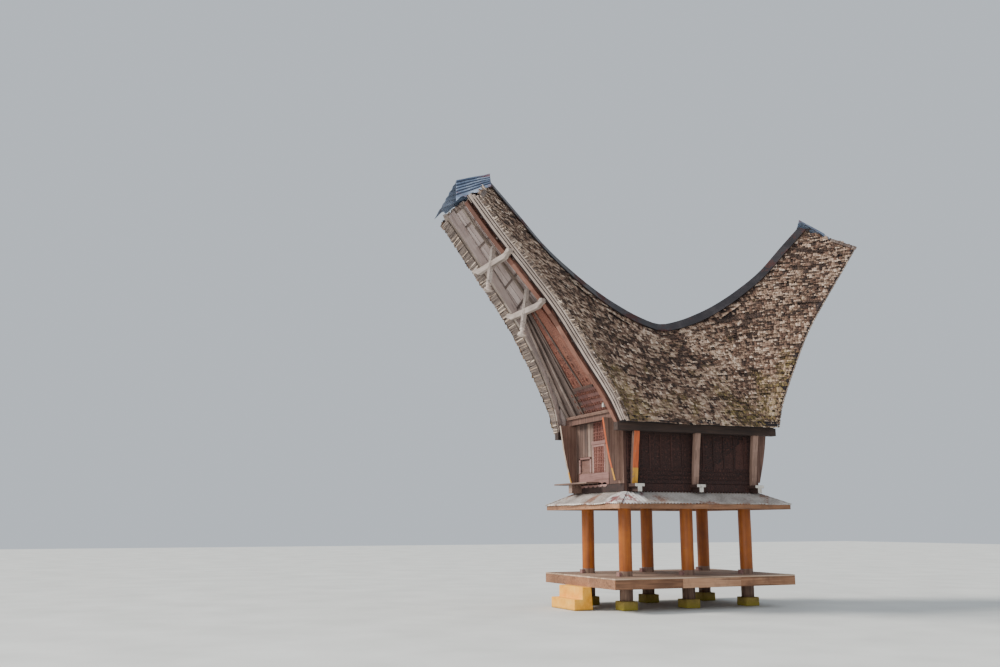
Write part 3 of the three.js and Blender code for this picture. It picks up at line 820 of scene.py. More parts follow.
def makeSoffit(end, side):
    bm = bmesh.new()
    low, first, steps = soffit["low"], soffit["from"], soffit["steps"]
    stations = [linear(first, tipStation - soffit["tipGap"], i / steps) for i in range(steps + 1)]
    for index in range(soffit["boards"]):
        start = low + soffit["span"] * index / soffit["boards"] + soffit["gap"]
        stop = low + soffit["span"] * (index + 1) / soffit["boards"]
        far = soffit["far"] + soffit["stagger"] * (index % 2)
        corners = ((start, soffit["near"]), (stop, soffit["near"]), (stop, far), (start, far))
        sweep(bm, [[soffitSpot(at, share, side, end, drop) for share, drop in corners] for at in stations])
    facing = Vector((0, ends[end], -1))
    at = first + soffit["battenFrom"]
    while at < tipStation:
        ring = [soffitSpot(at, share, side, end, soffit["battenDrop"]) for share in soffit["battenShares"]]
        addSticks(bm, ring, soffit["battenWidth"], soffit["battenDepth"], facing, 1)
        at += soffit["battenStep"]
    line = [soffitSpot(at, soffit["rafterShare"], side, end, soffit["rafterDrop"]) for at in stations[::2]]
    addSticks(bm, line, soffit["rafterWidth"], soffit["rafterDepth"], facing, 2)
    finishPiece(f"soffit_{end}_{side}", bm, ["soffitWood", "battenWood", "greyBoard"])


# Loose shingle ends between the tips and the hoods

fringe = {
    # The rows of ends on the underside and on top: how far up the tip each goes, its drop and its reach.
    "rows": {"cover": (0.8, 0.0, 0.085), "edge": (0.42, 0.02, 0.025)},
    "count": 64, "back": 0.06, "spread": 0.5, "skew": 0.012, "width": 0.03, "widths": (0.7, 1.2),
    "depth": 0.014, "paleShare": 0.25, "lookBack": 0.6, "lookAcross": 0.04, "seed": 31,
}


def layFringe(end, side):
    dice = random.Random(fringe["seed"] + sides[side] + 5 * ends[end])
    bm = bmesh.new()
    for key, (top, drop, far) in fringe["rows"].items():
        for index in range(fringe["count"]):
            share = top * index / (fringe["count"] - 1)
            spot = facePoint(key, tipStation, share)
            ahead = (spot - facePoint(key, tipStation - fringe["lookBack"], share)).normalized()
            across = (facePoint(key, tipStation, share + fringe["lookAcross"]) - spot).normalized()
            out = ahead.cross(across).normalized()
            start = spot - ahead * fringe["back"] - up * drop
            reach = far * (1 + dice.uniform(-1, 1) * fringe["spread"]) * (1 - 0.5 * share)
            finish = spot + ahead * reach - up * drop
            finish += across * dice.uniform(-fringe["skew"], fringe["skew"])
            start, finish = [flipped(point, side, end) for point in (start, finish)]
            width = fringe["width"] * dice.uniform(*fringe["widths"])
            pale = int(dice.random() < fringe["paleShare"])
            addStick(bm, start, finish, width, fringe["depth"], flipped(out, side, end), pale)
    finishPiece(f"fringe_{end}_{side}", bm, ["gableGrey", "greyBoard"])


# Iron hoods over the prow tips

hoods = {
    "backApex": (0, -4.13, 9.05), "backLow": (0.555, -4.33, 8.55), "frontApex": (0, -4.9, 8.79),
    "frontLow": (0.66, -5.15, 8.1), "alongSteps": 44, "downSteps": 120,
    "thickness": 0.003, "waves": 6.5, "swell": 0.022, "dent": 0.025, "under": 0.004,
    # The waves fade where the sheet is flat, from this share of the way down.
    "flat": 0.8, "fade": 12,
    # How much of the sheet is cut off along its lower edge, from the back to the front.
    "edge": [(0, 0.02), (0.2, 0.1), (0.42, 0.0), (0.55, 0.14), (0.7, 0.02), (0.84, 0.12), (1.0, 0.0)],
}


def hoodPoint(ahead, down):
    apex = Vector(hoods["backApex"]).lerp(Vector(hoods["frontApex"]), ahead)
    low = Vector(hoods["backLow"]).lerp(Vector(hoods["frontLow"]), ahead)
    return apex.lerp(low, down)


def makeHood(end):
    bm = bmesh.new()
    hollow = bm.verts.layers.float.new("hollow")
    out = (hoodPoint(0, 1) - hoodPoint(0, 0)).cross(hoodPoint(1, 0) - hoodPoint(0, 0)).normalized()
    out = towards(out, up)
    for side in sides:
        steps = {"x_segments": hoods["alongSteps"], "y_segments": hoods["downSteps"]}
        for vert in bmesh.ops.create_grid(bm, size=0.5, **steps)["verts"]:
            ahead, down = vert.co.x + 0.5, vert.co.y + 0.5
            down *= 1 - along(hoods["edge"], ahead)
            turn = 0.5 - 0.5 * math.cos(2 * math.pi * hoods["waves"] * down)
            turn *= min(max((hoods["flat"] - down) * hoods["fade"], 0), 1)
            dent = hoods["dent"] * noise.noise(Vector((ahead * 2.4, down * 2.1, sides[side] * 3)))
            # How deep a place lies in a wave; the paint darkens it there as painted shade.
            vert[hollow] = turn
            depth = turn * hoods["swell"] + abs(dent) + hoods["under"]
            vert.co = flipped(hoodPoint(ahead, down) - out * depth, side, end)
    bmesh.ops.recalc_face_normals(bm, faces=bm.faces)
    for face in bm.faces:
        if face.normal.z < 0:
            face.normal_flip()
    piece = finishPiece(f"hood_{end}", bm, ["hoodIron", "hoodInside"], [f"prow_cap_{end}"], True)
    thicken(piece, hoods["thickness"], 1)


# Crossbars with their hanging posts

bars = {
    "lower": {"height": 6.1, "half": 0.89, "post": (5.74, 6.6)},
    "upper": {"height": 7.05, "half": 0.955, "post": (6.63, 7.44)},
    "deep": 0.1, "tall": 0.13, "steps": 32,
    # The bar's section, in halves of its depth and height.
    "section": [(-1, -0.85), (-0.8, -1), (0.8, -1), (1, -0.85), (1, 0.85), (0.8, 1), (-0.8, 1), (-1, 0.85)],
    # The ends step up from a share of the half length on, and thin out from another.
    "rise": 0.06, "riseFrom": 0.74, "riseOver": 0.12, "thinFrom": 0.9, "thinOver": 0.1, "thin": 0.35,
    "lean": 0.13, "forward": 0.02, "slatWidth": 0.034, "slatDepth": 0.085, "slatGap": 0.03,
    # The turned end of a post: radius and height, from the bottom up.
    "finial": [(0.0, -0.185), (0.06, -0.18), (0.095, -0.165), (0.1, -0.145), (0.075, -0.135), (0.083, -0.12),
               (0.08, -0.105), (0.055, -0.09), (0.042, -0.06), (0.062, -0.04), (0.062, -0.02), (0.05, 0.0),
               (0.0, 0.0)],
    "finialSteps": 24,
}


def barY(node):
    # The middle of the bar itself, read at its end where no post hangs.
    depths = [v.co.y for v in nodes[node].data.vertices if abs(v.co.x) > 0.5]
    return (min(depths) + max(depths)) / 2


def makeCrossbar(end, level):
    sizes = bars[level]
    node = f"crossbar_{end}_{level}"
    bm = bmesh.new()
    centre = Vector((0, barY(node), sizes["height"]))
    rings = []
    for i in range(bars["steps"] + 1):
        share = i / bars["steps"] * 2 - 1
        lift = bars["rise"] * min(max(abs(share) - bars["riseFrom"], 0) / bars["riseOver"], 1)
        tall = bars["tall"] * (1 - bars["thin"] * max(abs(share) - bars["thinFrom"], 0) / bars["thinOver"])
        middle = centre + Vector((share * sizes["half"], 0, lift))
        rings.append([middle + Vector((0, y * bars["deep"] / 2, z * tall / 2)) for y, z in bars["section"]])
    sweep(bm, rings)
    lean = Matrix.Rotation(bars["lean"] * ends[end], 4, "X")
    place = Matrix.Translation(centre + Vector((0, ends[end] * bars["forward"], 0))) @ lean
    low, high = (height - sizes["height"] for height in sizes["post"])
    for sign in sides.values():
        slat = Matrix.Translation((sign * (bars["slatWidth"] + bars["slatGap"]) / 2, 0, (low + high) / 2))
        addBlock(bm, place @ slat @ sized(bars["slatWidth"], bars["slatDepth"], high - low))
    lathe(bm, [(radius, z + low) for radius, z in bars["finial"]], bars["finialSteps"], place, 1)
    paints = ["barWood", "paleEdgeWood"]
    finishPiece(f"{node}_dressed", bm, paints, [node], rounding=0.006, segments=2)


def lathe(bm, profile, steps, place, paint):
    # A turned form around the local Z.
    form = bmesh.new()
    verts = [form.verts.new((radius, 0, z)) for radius, z in profile]
    edges = [form.edges.new(pair) for pair in zip(verts, verts[1:])]
    bmesh.ops.spin(form, geom=verts + edges, cent=(0, 0, 0), axis=(0, 0, 1), angle=2 * math.pi, steps=steps)
    bmesh.ops.remove_doubles(form, verts=form.verts, dist=weld / 2)
    for face in form.faces:
        face.material_index = paint
        face.smooth = True
    bmesh.ops.recalc_face_normals(form, faces=form.faces)
    bmesh.ops.transform(form, matrix=place, verts=form.verts)
    merge(bm, form)


# Carved ornament

def rosetteForm(petals):
    # A boss with petals around it, one unit in radius and height, rising along Z.
    bm = bmesh.new()
    bmesh.ops.create_cone(bm, cap_ends=True, segments=8, radius1=0.32, radius2=0.2, depth=1,
                          matrix=Matrix.Translation((0, 0, 0.5)))
    for i in range(petals):
        spin = Matrix.Rotation(2 * math.pi * i / petals, 4, "Z") @ Matrix.Translation((0.68, 0, 0.35))
        bmesh.ops.create_cone(bm, cap_ends=True, segments=4, radius1=1, radius2=0.3, depth=0.7,
                              matrix=spin @ sized(0.32, 0.2, 1))
    paintFaces(bm.faces, 1)
    return meshOf("rosetteForm", bm)


# The gable under each prow

gables = {
    "foot": (1.8, 3.95), "head": (3.25, 6.2),
    # The boards run together upwards: their places across the head, as a share of those at the foot.
    "fan": 0.36,
    # Where the planks part at the foot, from the left seen from the front.
    "parts": [-1.15, -0.93, -0.74, -0.56, -0.4, -0.22, -0.08],
    "panels": [-0.08, 0.42, 1.15], "lowPanels": [-0.4, -0.08, 0.35, 1.15],
    "gap": 0.003, "stagger": 0.012, "beamTop": 3.96, "plankFoot": 3.97, "seed": 5,
    # Each rail: its height and where it starts and stops.
    "rails": [(4.5, -0.06, 0.8), (3.985, -1.0, 1.02)], "railWidth": 0.055, "railShift": 0.7, "railDeep": 1.6,
    # Each stile: its place across the foot and the share of the way up where it starts.
    "stiles": [(-0.93, 0.02), (-0.56, 0.02), (-0.22, 0.02), (-0.08, 0.245), (0.42, 0.245)],
    "stileTop": 0.97, "stileWidth": 0.04, "stileDepth": 0.022,
    # The curls carved on the panels: place across the foot, share of the way up, and radius.
    "curls": [(0.08, 0.3, 0.06), (0.27, 0.3, 0.06), (0.62, 0.3, 0.06), (0.8, 0.3, 0.05), (0.08, 0.37, 0.05),
              (0.27, 0.37, 0.05), (0.62, 0.37, 0.05), (0.1, 0.44, 0.05), (0.28, 0.44, 0.05),
              (0.6, 0.44, 0.045), (0.1, 0.51, 0.04), (0.28, 0.51, 0.04), (0.6, 0.51, 0.035),
              (0.12, 0.58, 0.035), (0.3, 0.58, 0.03), (0.12, 0.65, 0.03), (0.3, 0.65, 0.025)],
    "curlHeight": 0.02, "curlSunk": -0.006,
    # The small curls in rows: how many rows and columns, and the first place and step of each.
    "rows": (4, 0.04, 0.052), "columns": (13, -0.32, 0.1), "smallCurl": 0.042, "smallHeight": 0.018,
    "lath": [(0.72, 1.86, 4.06), (0.78, 1.92, 4.24)],
}


def gableSpot(x, share, end, out=0.0):
    # A point of the gable's face, at a share of the way up, standing out from it.
    y, z = [linear(low, high, share) for low, high in zip(gables["foot"], gables["head"])]
    return Vector((x, y * ends[end], z)) + gableOut(end) * out


def gableOut(end):
    rise = Vector([high - low for low, high in zip(gables["foot"], gables["head"])]).normalized()
    return Vector((0, rise.y * ends[end], -rise.x))


def fanned(x, share):
    return linear(x, x * gables["fan"], share)


def makeGablePlanks(end):
    dice = random.Random(gables["seed"])
    rail = (0, 0, gables["rails"][0][0])
    bm = bmesh.new()
    for key, limit, paint in (("parts", None, 0), ("panels", (rail, -up), 1), ("lowPanels", (rail, up), 3)):
        for start, stop in zip(gables[key], gables[key][1:]):
            addPlank(bm, end, start, stop, limit, paint, dice)
    beam = nodeCopy(f"gable_{end}")
    cutAway(beam, (0, 0, gables["beamTop"]), up)
    paintFaces(beam.faces, 2)
    merge(bm, beam)
    paints = ["gableGrey", "gableRed", "darkWood", "gableDark"]
    finishPiece(f"gable_planks_{end}", bm, paints, [f"gable_{end}"], rounding=0.003)


def addPlank(bm, end, start, stop, limit, paint, dice):
    # One board of the gable, cut out of the node's own shape.
    plank = nodeCopy(f"gable_{end}")
    for x, sign in ((start + gables["gap"], -1), (stop - gables["gap"], 1)):
        foot, head = gableSpot(x, 0, end), gableSpot(x * gables["fan"], 1, end)
        across = towards((head - foot).cross(gableOut(end)), Vector((sign, 0, 0)))
        cutAway(plank, foot, across.normalized())
    cutAway(plank, (0, 0, gables["plankFoot"]), -up)
    if limit:
        cutAway(plank, *limit)
    paintFaces(plank.faces, paint)
    bmesh.ops.translate(plank, vec=gableOut(end) * -dice.uniform(0, gables["stagger"]), verts=plank.verts)
    merge(bm, plank)


def cutAway(bm, place, out):
    # Cuts off what lies beyond a plane and closes the cut.
    cutOff(bm, place, out)
    bmesh.ops.holes_fill(bm, edges=[edge for edge in bm.edges if edge.is_boundary], sides=0)


def makeGableTrim(end):
    bm = bmesh.new()
    facing = gableOut(end)
    deep = gables["stileDepth"]
    for x, low in gables["stiles"]:
        foot = gableSpot(fanned(x, low), low, end, deep / 2)
        head = gableSpot(x * gables["fan"], gables["stileTop"], end, deep / 2)
        addStick(bm, foot, head, gables["stileWidth"], deep, facing)
    for height, start, stop in gables["rails"]:
        share = (height - gables["foot"][1]) / (gables["head"][1] - gables["foot"][1])
        left, right = [gableSpot(x, share, end, deep * gables["railShift"]) for x in (start, stop)]
        addStick(bm, left, right, gables["railWidth"], deep * gables["railDeep"], facing, 2)
    rowCount, firstShare, shareStep = gables["rows"]
    columnCount, firstX, xStep = gables["columns"]
    small = gables["smallCurl"], gables["smallHeight"]
    curls = [(x, share, radius, gables["curlHeight"]) for x, share, radius in gables["curls"]]
    curls += [(firstX + column * xStep, firstShare + row * shareStep, *small)
              for row in range(rowCount) for column in range(columnCount)]
    form = rosetteForm(8)
    turn = turned(Vector((1, 0, 0)), facing.cross(Vector((1, 0, 0))), facing)
    for x, share, radius, tall in curls:
        place = Matrix.Translation(gableSpot(fanned(x, share), share, end, gables["curlSunk"]))
        stamp(bm, form, place @ turn @ sized(radius, radius, tall))
    addBox(bm, *[(x, ends[end] * y, z) for x, y, z in gables["lath"]], 3)
    paints = ["gableGrey", "gableRed", "brownWood", "flakedWhite"]
    finishPiece(f"gable_trim_{end}", bm, paints, rounding=0.002)


# Walls

frontBoards = [
    # Left, right, bottom, top, thickness, paint: 0 grey, 1 brown, 2 red, 3 pink, 4 dark.
    (-1.09, -0.98, 2.76, 3.93, 0.012, 1), (-0.97, -0.87, 2.76, 3.93, 0.014, 0),
    (-0.865, -0.75, 2.76, 3.93, 0.01, 0), (-0.745, -0.64, 3.11, 3.93, 0.013, 0),
    (-0.635, -0.52, 3.11, 3.93, 0.01, 0), (-0.515, -0.4, 3.11, 3.93, 0.014, 0),
    (-0.395, -0.27, 3.11, 3.93, 0.011, 0), (-0.265, -0.14, 2.76, 3.93, 0.01, 0),
    (-0.13, 0.32, 2.76, 3.3, 0.008, 2), (-0.13, 0.32, 3.42, 3.93, 0.008, 2),
    (0.33, 0.5, 2.5, 3.93, 0.012, 1), (0.505, 0.68, 2.5, 3.93, 0.01, 1),
    (0.685, 0.86, 2.5, 3.93, 0.013, 1), (0.865, 1.09, 2.5, 3.93, 0.01, 1),
    (-0.78, 0.5, 2.5, 2.755, 0.022, 3), (-1.09, -0.785, 2.5, 2.755, 0.012, 1),
    (-1.09, 1.09, 2.34, 2.495, 0.014, 4), (-0.765, -0.72, 2.77, 3.1, 0.03, 3),
    (-0.28, -0.235, 2.77, 3.1, 0.03, 3), (-0.765, -0.235, 3.062, 3.105, 0.03, 3),
    (-0.17, -0.125, 2.76, 3.43, 0.024, 3), (0.32, 0.36, 2.76, 3.43, 0.024, 3),
    (-0.125, 0.34, 3.3, 3.345, 0.02, 3), (-0.2, 0.4, 3.345, 3.42, 0.03, 3),
]
walls = {
    "front": 1.65, "right": 1.1,
    # The lattice: its two panels, and the half depth and reach of its uprights and its cross bars.
    "lattices": [(2.76, 3.3), (3.42, 3.9)], "latticeStep": 0.072, "latticeWidth": 0.018, "latticeOut": 0.015,
    "uprights": (-0.1, 0.31, 0.008), "crossBars": (-0.125, 0.32, 0.006), "crossLow": 0.03, "crossHigh": 0.02,
    # The flat board that stands at the rear in the hatch's place.
    "rearBoard": (-0.72, -0.28, 2.77, 3.07, 0.008),
    # The lobes under the carved board.
    "scrollFrom": -0.68, "scrollTop": 2.5, "scrolls": 6,
    "scrollWidth": 0.2, "scrollDrop": 0.05, "scrollDepth": 0.022,
    # The side walls: rails by bottom, top and thickness, then stiles, and bosses in the bays between them.
    "rails": [(2.345, 2.5, 0.02), (2.51, 2.58, 0.026), (2.59, 2.665, 0.014), (2.675, 2.75, 0.018),
              (2.76, 2.83, 0.014), (3.5, 3.56, 0.022)],
    "railHalf": 1.6, "half": 1.58, "bays": 12,
    "stileWidth": 0.03, "stileDepth": 0.016, "stileEnds": (2.83, 3.66),
    "dotFrom": 0.05, "dotStep": 0.095, "dotSize": 0.036, "dotHeight": 0.012, "panel": (2.86, 3.5),
    # The rows of small bosses on the rails.
    "rows": [2.543, 2.63, 2.71, 2.79], "studs": 42, "studFrom": -1.54, "studStep": 0.075, "studShift": 0.03,
    "studSize": 0.026, "studHeight": 0.018, "studOut": 0.014,
}


def makeFrontBoards(end):
    bm = bmesh.new()
    sign, face = ends[end], walls["front"]
    for left, right, bottom, top, thick, paint in frontBoards:
        addBox(bm, (left, sign * face, bottom), (right, sign * (face + thick), top), paint)
    out = sign * (face + walls["latticeOut"])
    step, wide = walls["latticeStep"], walls["latticeWidth"]
    for low, high in walls["lattices"]:
        x, stop, deep = walls["uprights"]
        while x < stop:
            addBox(bm, (x, out - deep, low), (x + wide, out + deep, high), 2)
            x += step
        start, stop, deep = walls["crossBars"]
        z = low + walls["crossLow"]
        while z < high - walls["crossHigh"]:
            addBox(bm, (start, out - deep, z), (stop, out + deep, z + wide), 2)
            z += step
    if end == "rear":
        left, right, bottom, top, thick = walls["rearBoard"]
        addBox(bm, (left, face, bottom), (right, face + thick, top), 1)
    for i in range(walls["scrolls"]):
        x = walls["scrollFrom"] + i * walls["scrollWidth"]
        addScroll(bm, Vector((x, sign * (face + walls["scrollDepth"] / 2), walls["scrollTop"])))
    paints = ["greyWood", "brownWood", "redWood", "pinkWood", "darkRail"]
    finishPiece(f"front_boards_{end}", bm, paints, rounding=0.003)


def addScroll(bm, centre):
    # A half round lobe hanging under the carved board.
    size = sized(walls["scrollWidth"] / 2, walls["scrollDrop"], 1)
    place = Matrix.Translation(centre) @ Matrix.Rotation(math.pi / 2, 4, "X") @ size
    verts = bmesh.ops.create_cone(bm, cap_ends=True, segments=20, radius1=1, radius2=1,
                                  depth=walls["scrollDepth"], matrix=place)["verts"]
    paintFaces(facesOf(verts), 3)


def makeSideTrim(side):
    sign, face = sides[side], walls["right"]
    wide, half, bays = walls["stileWidth"], walls["half"], walls["bays"]
    bm = bmesh.new()
    for bottom, top, thick in walls["rails"]:
        addBox(bm, (sign * face, -walls["railHalf"], bottom), (sign * (face + thick), walls["railHalf"], top))
    bottom, top = walls["stileEnds"]
    for index in range(bays + 1):
        y = linear(-half, half - wide, index / bays)
        addBox(bm, (sign * face, y, bottom), (sign * (face + walls["stileDepth"]), y + wide, top))
    form = rosetteForm(4)
    turn = turned(Vector((0, sign, 0)), up, Vector((sign, 0, 0)))
    low, high = walls["panel"]
    step = walls["dotStep"]
    bay = (2 * half - wide) / bays
    for index in range(bays):
        count = 2 if index % 3 else 3
        for column in range(count):
            y = -half + index * bay + wide + (bay - wide) * (column + 0.5) / count
            for row in range(int((high - low) / step)):
                z = low + walls["dotFrom"] + row * step + (column % 2) * step * 0.5
                size = sized(walls["dotSize"], walls["dotSize"], walls["dotHeight"])
                stamp(bm, form, Matrix.Translation((sign * face, y, z)) @ turn @ size)
    for row, z in enumerate(walls["rows"]):
        for index in range(walls["studs"]):
            y = walls["studFrom"] + index * walls["studStep"] + (row % 2) * walls["studShift"]
            size = sized(walls["studSize"], walls["studSize"], walls["studHeight"])
            stamp(bm, form, Matrix.Translation((sign * (face + walls["studOut"]), y, z)) @ turn @ size)
    finishPiece(f"side_trim_{side}", bm, ["carvedWood", "carvedDots"], rounding=0.002)


# Iron skirt roof

skirt = {
    "innerX": 1.103, "outerX": 1.6, "innerY": 1.653, "outerY": 2.08, "inner": 2.327, "outer": 2.097,
    "thickness": 0.002, "pitch": 0.076, "swell": 0.011, "sheet": 0.79, "overlap": 0.6, "over": 0.03,
    "steps": 8, "downSteps": 10, "ragged": 0.035, "lift": 0.006, "sag": 0.014, "seed": 21,
    "hipWidth": 0.1, "hipThickness": 0.008, "hipLift": 0.006, "hipOver": 0.01,
}


def skirtSpot(axis, sign, u, v):
    # A point on one slope: u metres along the wall, v from the wall out to the eave.
    out = linear(skirt[f"inner{axis}"], skirt[f"outer{axis}"], v) * sign
    height = linear(skirt["inner"], skirt["outer"], v)
    return Vector((out, u, height) if axis == "X" else (u, out, height))


def makeSkirtSheets(axis, sign, name):
    dice = random.Random(f"{axis.lower()}{sign}{skirt['seed']}")
    other = "Y" if axis == "X" else "X"
    bm = bmesh.new()
    reach = skirt[f"outer{other}"] + skirt["over"]
    count = math.ceil(2 * reach / skirt["sheet"])
    for index in range(count):
        start = -reach + 2 * reach * index / count
        stop = start + 2 * reach / count + skirt["pitch"] * skirt["overlap"]
        addSheet(bm, axis, sign, start, stop, dice)
    # Both ends are cut along the hips.
    for turn in (-1, 1):
        signs = Vector((sign, turn, 0) if axis == "X" else (turn, sign, 0))
        corner = signs * Vector((skirt["outerX"], skirt["outerY"], 0))
        line = signs * Vector((skirt["outerX"] - skirt["innerX"], skirt["outerY"] - skirt["innerY"], 0))
        wanted = Vector((0, turn, 0) if axis == "X" else (turn, 0, 0))
        cutOff(bm, corner, towards(line.cross(up), wanted).normalized())
    piece = finishPiece(f"skirt_sheets_{name}", bm, ["skirtIron"], ["skirt_roof"], True)
    thicken(piece, skirt["thickness"])


def addSheet(bm, axis, sign, start, stop, dice):
    steps = max(int((stop - start) / skirt["pitch"] * skirt["steps"]), 4)
    verts = bmesh.ops.create_grid(bm, x_segments=steps, y_segments=skirt["downSteps"], size=0.5)["verts"]
    longer, lift, seed = [dice.uniform(0, most) for most in (skirt["ragged"], skirt["lift"], 50)]
    for vert in verts:
        u = linear(start, stop, vert.co.x + 0.5)
        v = vert.co.y + 0.5
        wave = skirt["swell"] * math.sin(2 * math.pi * u / skirt["pitch"])
        sag = skirt["sag"] * noise.noise(Vector((u * 1.6 + seed, v * 2.2, sign * 5))) * v
        spot = skirtSpot(axis, sign, u, v * (1 + longer / 0.5))
        spot.z += wave + sag + lift
        vert.co = spot
    if facesOf(verts).pop().normal.z < 0:
        bmesh.ops.reverse_faces(bm, faces=list(facesOf(verts)))


def makeHips():
    bm = bmesh.new()
    lift, over = skirt["hipLift"], skirt["hipOver"]
    for side in sides.values():
        for end in ends.values():
            inner = Vector((side * skirt["innerX"], end * skirt["innerY"], skirt["inner"] + lift))
            x, y = side * (skirt["outerX"] + over), end * (skirt["outerY"] + over)
            outer = Vector((x, y, skirt["outer"] + lift))
            addStick(bm, inner, outer, skirt["hipWidth"], skirt["hipThickness"], up)
    finishPiece("skirt_hips", bm, ["skirtIron"], rounding=0.004, segments=2)


# Posts, platform and steps

stand = {
    "rows": {"front": -1.4825, "middle": 0, "rear": 1.4825}, "postX": 0.779, "radius": 0.1355,
    "bottom": 0.18, "top": 2.15, "postSides": 56, "cuts": 11, "wear": 0.03, "bare": 0.1,
    # The block at the foot of each post.
    "block": (0.11, 0.06, 0.08), "blockOut": 0.02, "blockUp": 0.04,
    "deckTop": 0.66, "deckThickness": 0.03, "plank": 0.145, "plankGap": 0.004, "plankDrop": 0.003,
    "leastPlank": 0.02,
    "halfX": 1.514, "halfY": 2.154, "seed": 4,
    # The boards around the platform: half sizes, height, thickness, and the joints along X and along Y.
    "fasciaX": 1.51, "fasciaY": 2.15, "fasciaLow": 0.448, "fasciaHigh": 0.629, "fascia": 0.006,
    "jointGap": 0.002, "jointsX": [0.35], "jointsY": [-0.62, 0.78],
    # The footings: how far their edges are broken, the size of their facets, and how far they wear.
    "break": 0.018, "facet": 0.04, "footingWear": 0.01, "footingTop": 0.175,
}


def makePost(row, side):
    bm = bmesh.new()
    x, y = sides[side] * stand["postX"], stand["rows"][row]
    place = Matrix.Translation((x, y, (stand["top"] + stand["bottom"]) / 2))
    bmesh.ops.create_cone(bm, cap_ends=True, segments=stand["postSides"], radius1=stand["radius"],
                          radius2=stand["radius"], depth=stand["top"] - stand["bottom"], matrix=place)
    upright = [edge for edge in bm.edges if abs(edge.verts[0].co.z - edge.verts[1].co.z) > 1]
    bmesh.ops.subdivide_edges(bm, edges=upright, cuts=stand["cuts"])
    for vert in bm.verts:
        away = Vector((vert.co.x - place[0][3], vert.co.y - place[1][3], 0))
        bump = abs(noise.noise(Vector((vert.co.x * 5, vert.co.y * 5, vert.co.z * 1.5))))
        vert.co -= away * stand["wear"] * bump
    for face in bm.faces:
        face.smooth = abs(face.normal.z) < 0.5
    block = Vector((x, y - stand["radius"] - stand["blockOut"], stand["deckTop"] + stand["blockUp"]))
    addBlock(bm, Matrix.Translation(block) @ sized(*stand["block"]), 1)
    paints = ["postEnamel", "pinkWood"]
    finishPiece(f"round_post_{row}_{side}", bm, paints, [f"post_{row}_{side}"])


def makeDeck():
    bm = bmesh.new()
    x, y = -stand["halfX"], stand["halfY"]
    dice = random.Random(stand["seed"])
    while x < stand["halfX"] - stand["leastPlank"]:
        wide = min(stand["plank"], stand["halfX"] - x)
        low = stand["deckTop"] - stand["deckThickness"]
        top = stand["deckTop"] - dice.uniform(0, stand["plankDrop"])
        addBox(bm, (x, -y, low), (x + wide - stand["plankGap"], y, top))
        x += stand["plank"]
    bm.normal_update()
    for face in bm.faces:
        face.material_index = int(abs(face.normal.z) < 0.5)
    finishPiece("deck_planks", bm, ["deckWood", "paleDeck"], ["platform_deck"], rounding=0.003)


def makeFascia():
    bm = bmesh.new()
    x, y, gap, thick = [stand[key] for key in ("fasciaX", "fasciaY", "jointGap", "fascia")]
    low, high = stand["fasciaLow"], stand["fasciaHigh"]
    for sign in (-1, 1):
        stops = [-y, *stand["jointsY"], y]
        for start, stop in zip(stops, stops[1:]):
            addBox(bm, (sign * x, start + gap, low), (sign * (x + thick), stop - gap, high))
        stops = [-x, *stand["jointsX"], x]
        for start, stop in zip(stops, stops[1:]):
            addBox(bm, (start + gap, sign * y, low), (stop - gap, sign * (y + thick), high))
    finishPiece("platform_fascia", bm, ["fasciaWood"], rounding=0.002)


def makeFooting(name):
    bm = nodeCopy(name)
    bmesh.ops.bevel(bm, geom=bm.edges[:], offset=stand["break"], segments=3, profile=0.5, affect="EDGES",
                    material=-1)
    bmesh.ops.triangulate(bm, faces=bm.faces[:])
    for _ in range(3):
        long = [edge for edge in bm.edges if edge.calc_length() > stand["facet"]]
        bmesh.ops.subdivide_edges(bm, edges=long, cuts=1)
    bmesh.ops.triangulate(bm, faces=bm.faces[:])
    bm.normal_update()
    for vert in bm.verts:
        wear = stand["footingWear"] * abs(noise.noise(vert.co * 9)) * (vert.co.z < stand["footingTop"])
        vert.co -= vert.normal * wear
    finishPiece(f"{name}_worn", bm, ["mossy"], [name], True)


# Paints

def makeIronPaint(name, stops, rust, rustShare, hollow=False):
    # Galvanised sheet with dull blotches and rust, and painted shade in the hollows of its waves.
    paint = Paint(name)
    cloud = paint.noise(2.2, 5, 0.6)
    speck = paint.noise(26, 4, 0.7)
    colour = paint.ramp(cloud * 0.7 + speck * 0.3, stops)
    wear = paint.noise(1.7, 6, 0.7) + speck * 0.15
    wear = paint.step(wear, 0.72 - rustShare * 0.3, 0.8 - rustShare * 0.3)
    colour = paint.blend(wear * 0.85, colour, paint.ramp(speck, [(0.3, rust[0]), (0.7, rust[1])]))
    if hollow:
        # Painted shade: the hollows of the waves are darkened towards the darkest tone.
        depth = paint.node("ShaderNodeAttribute", {"attribute_name": "hollow"}, output="Fac")
        colour = paint.blend(paint.step(depth, 0.2, 0.65) * 0.92, colour, stops[0][1])
        # The topmost waves were once painted red.
        crown = paint.step(paint.axis("Z") + cloud * 0.12, 8.97, 9.05)
        colour = paint.blend(crown * 0.7, colour, paint.ramp(speck, [(0.3, "6e3c40"), (0.7, "b98a8c")]))
    return paint.surface(colour, wear * 0.35 + 0.42, 0.25, speck, 0.25, 0.004)


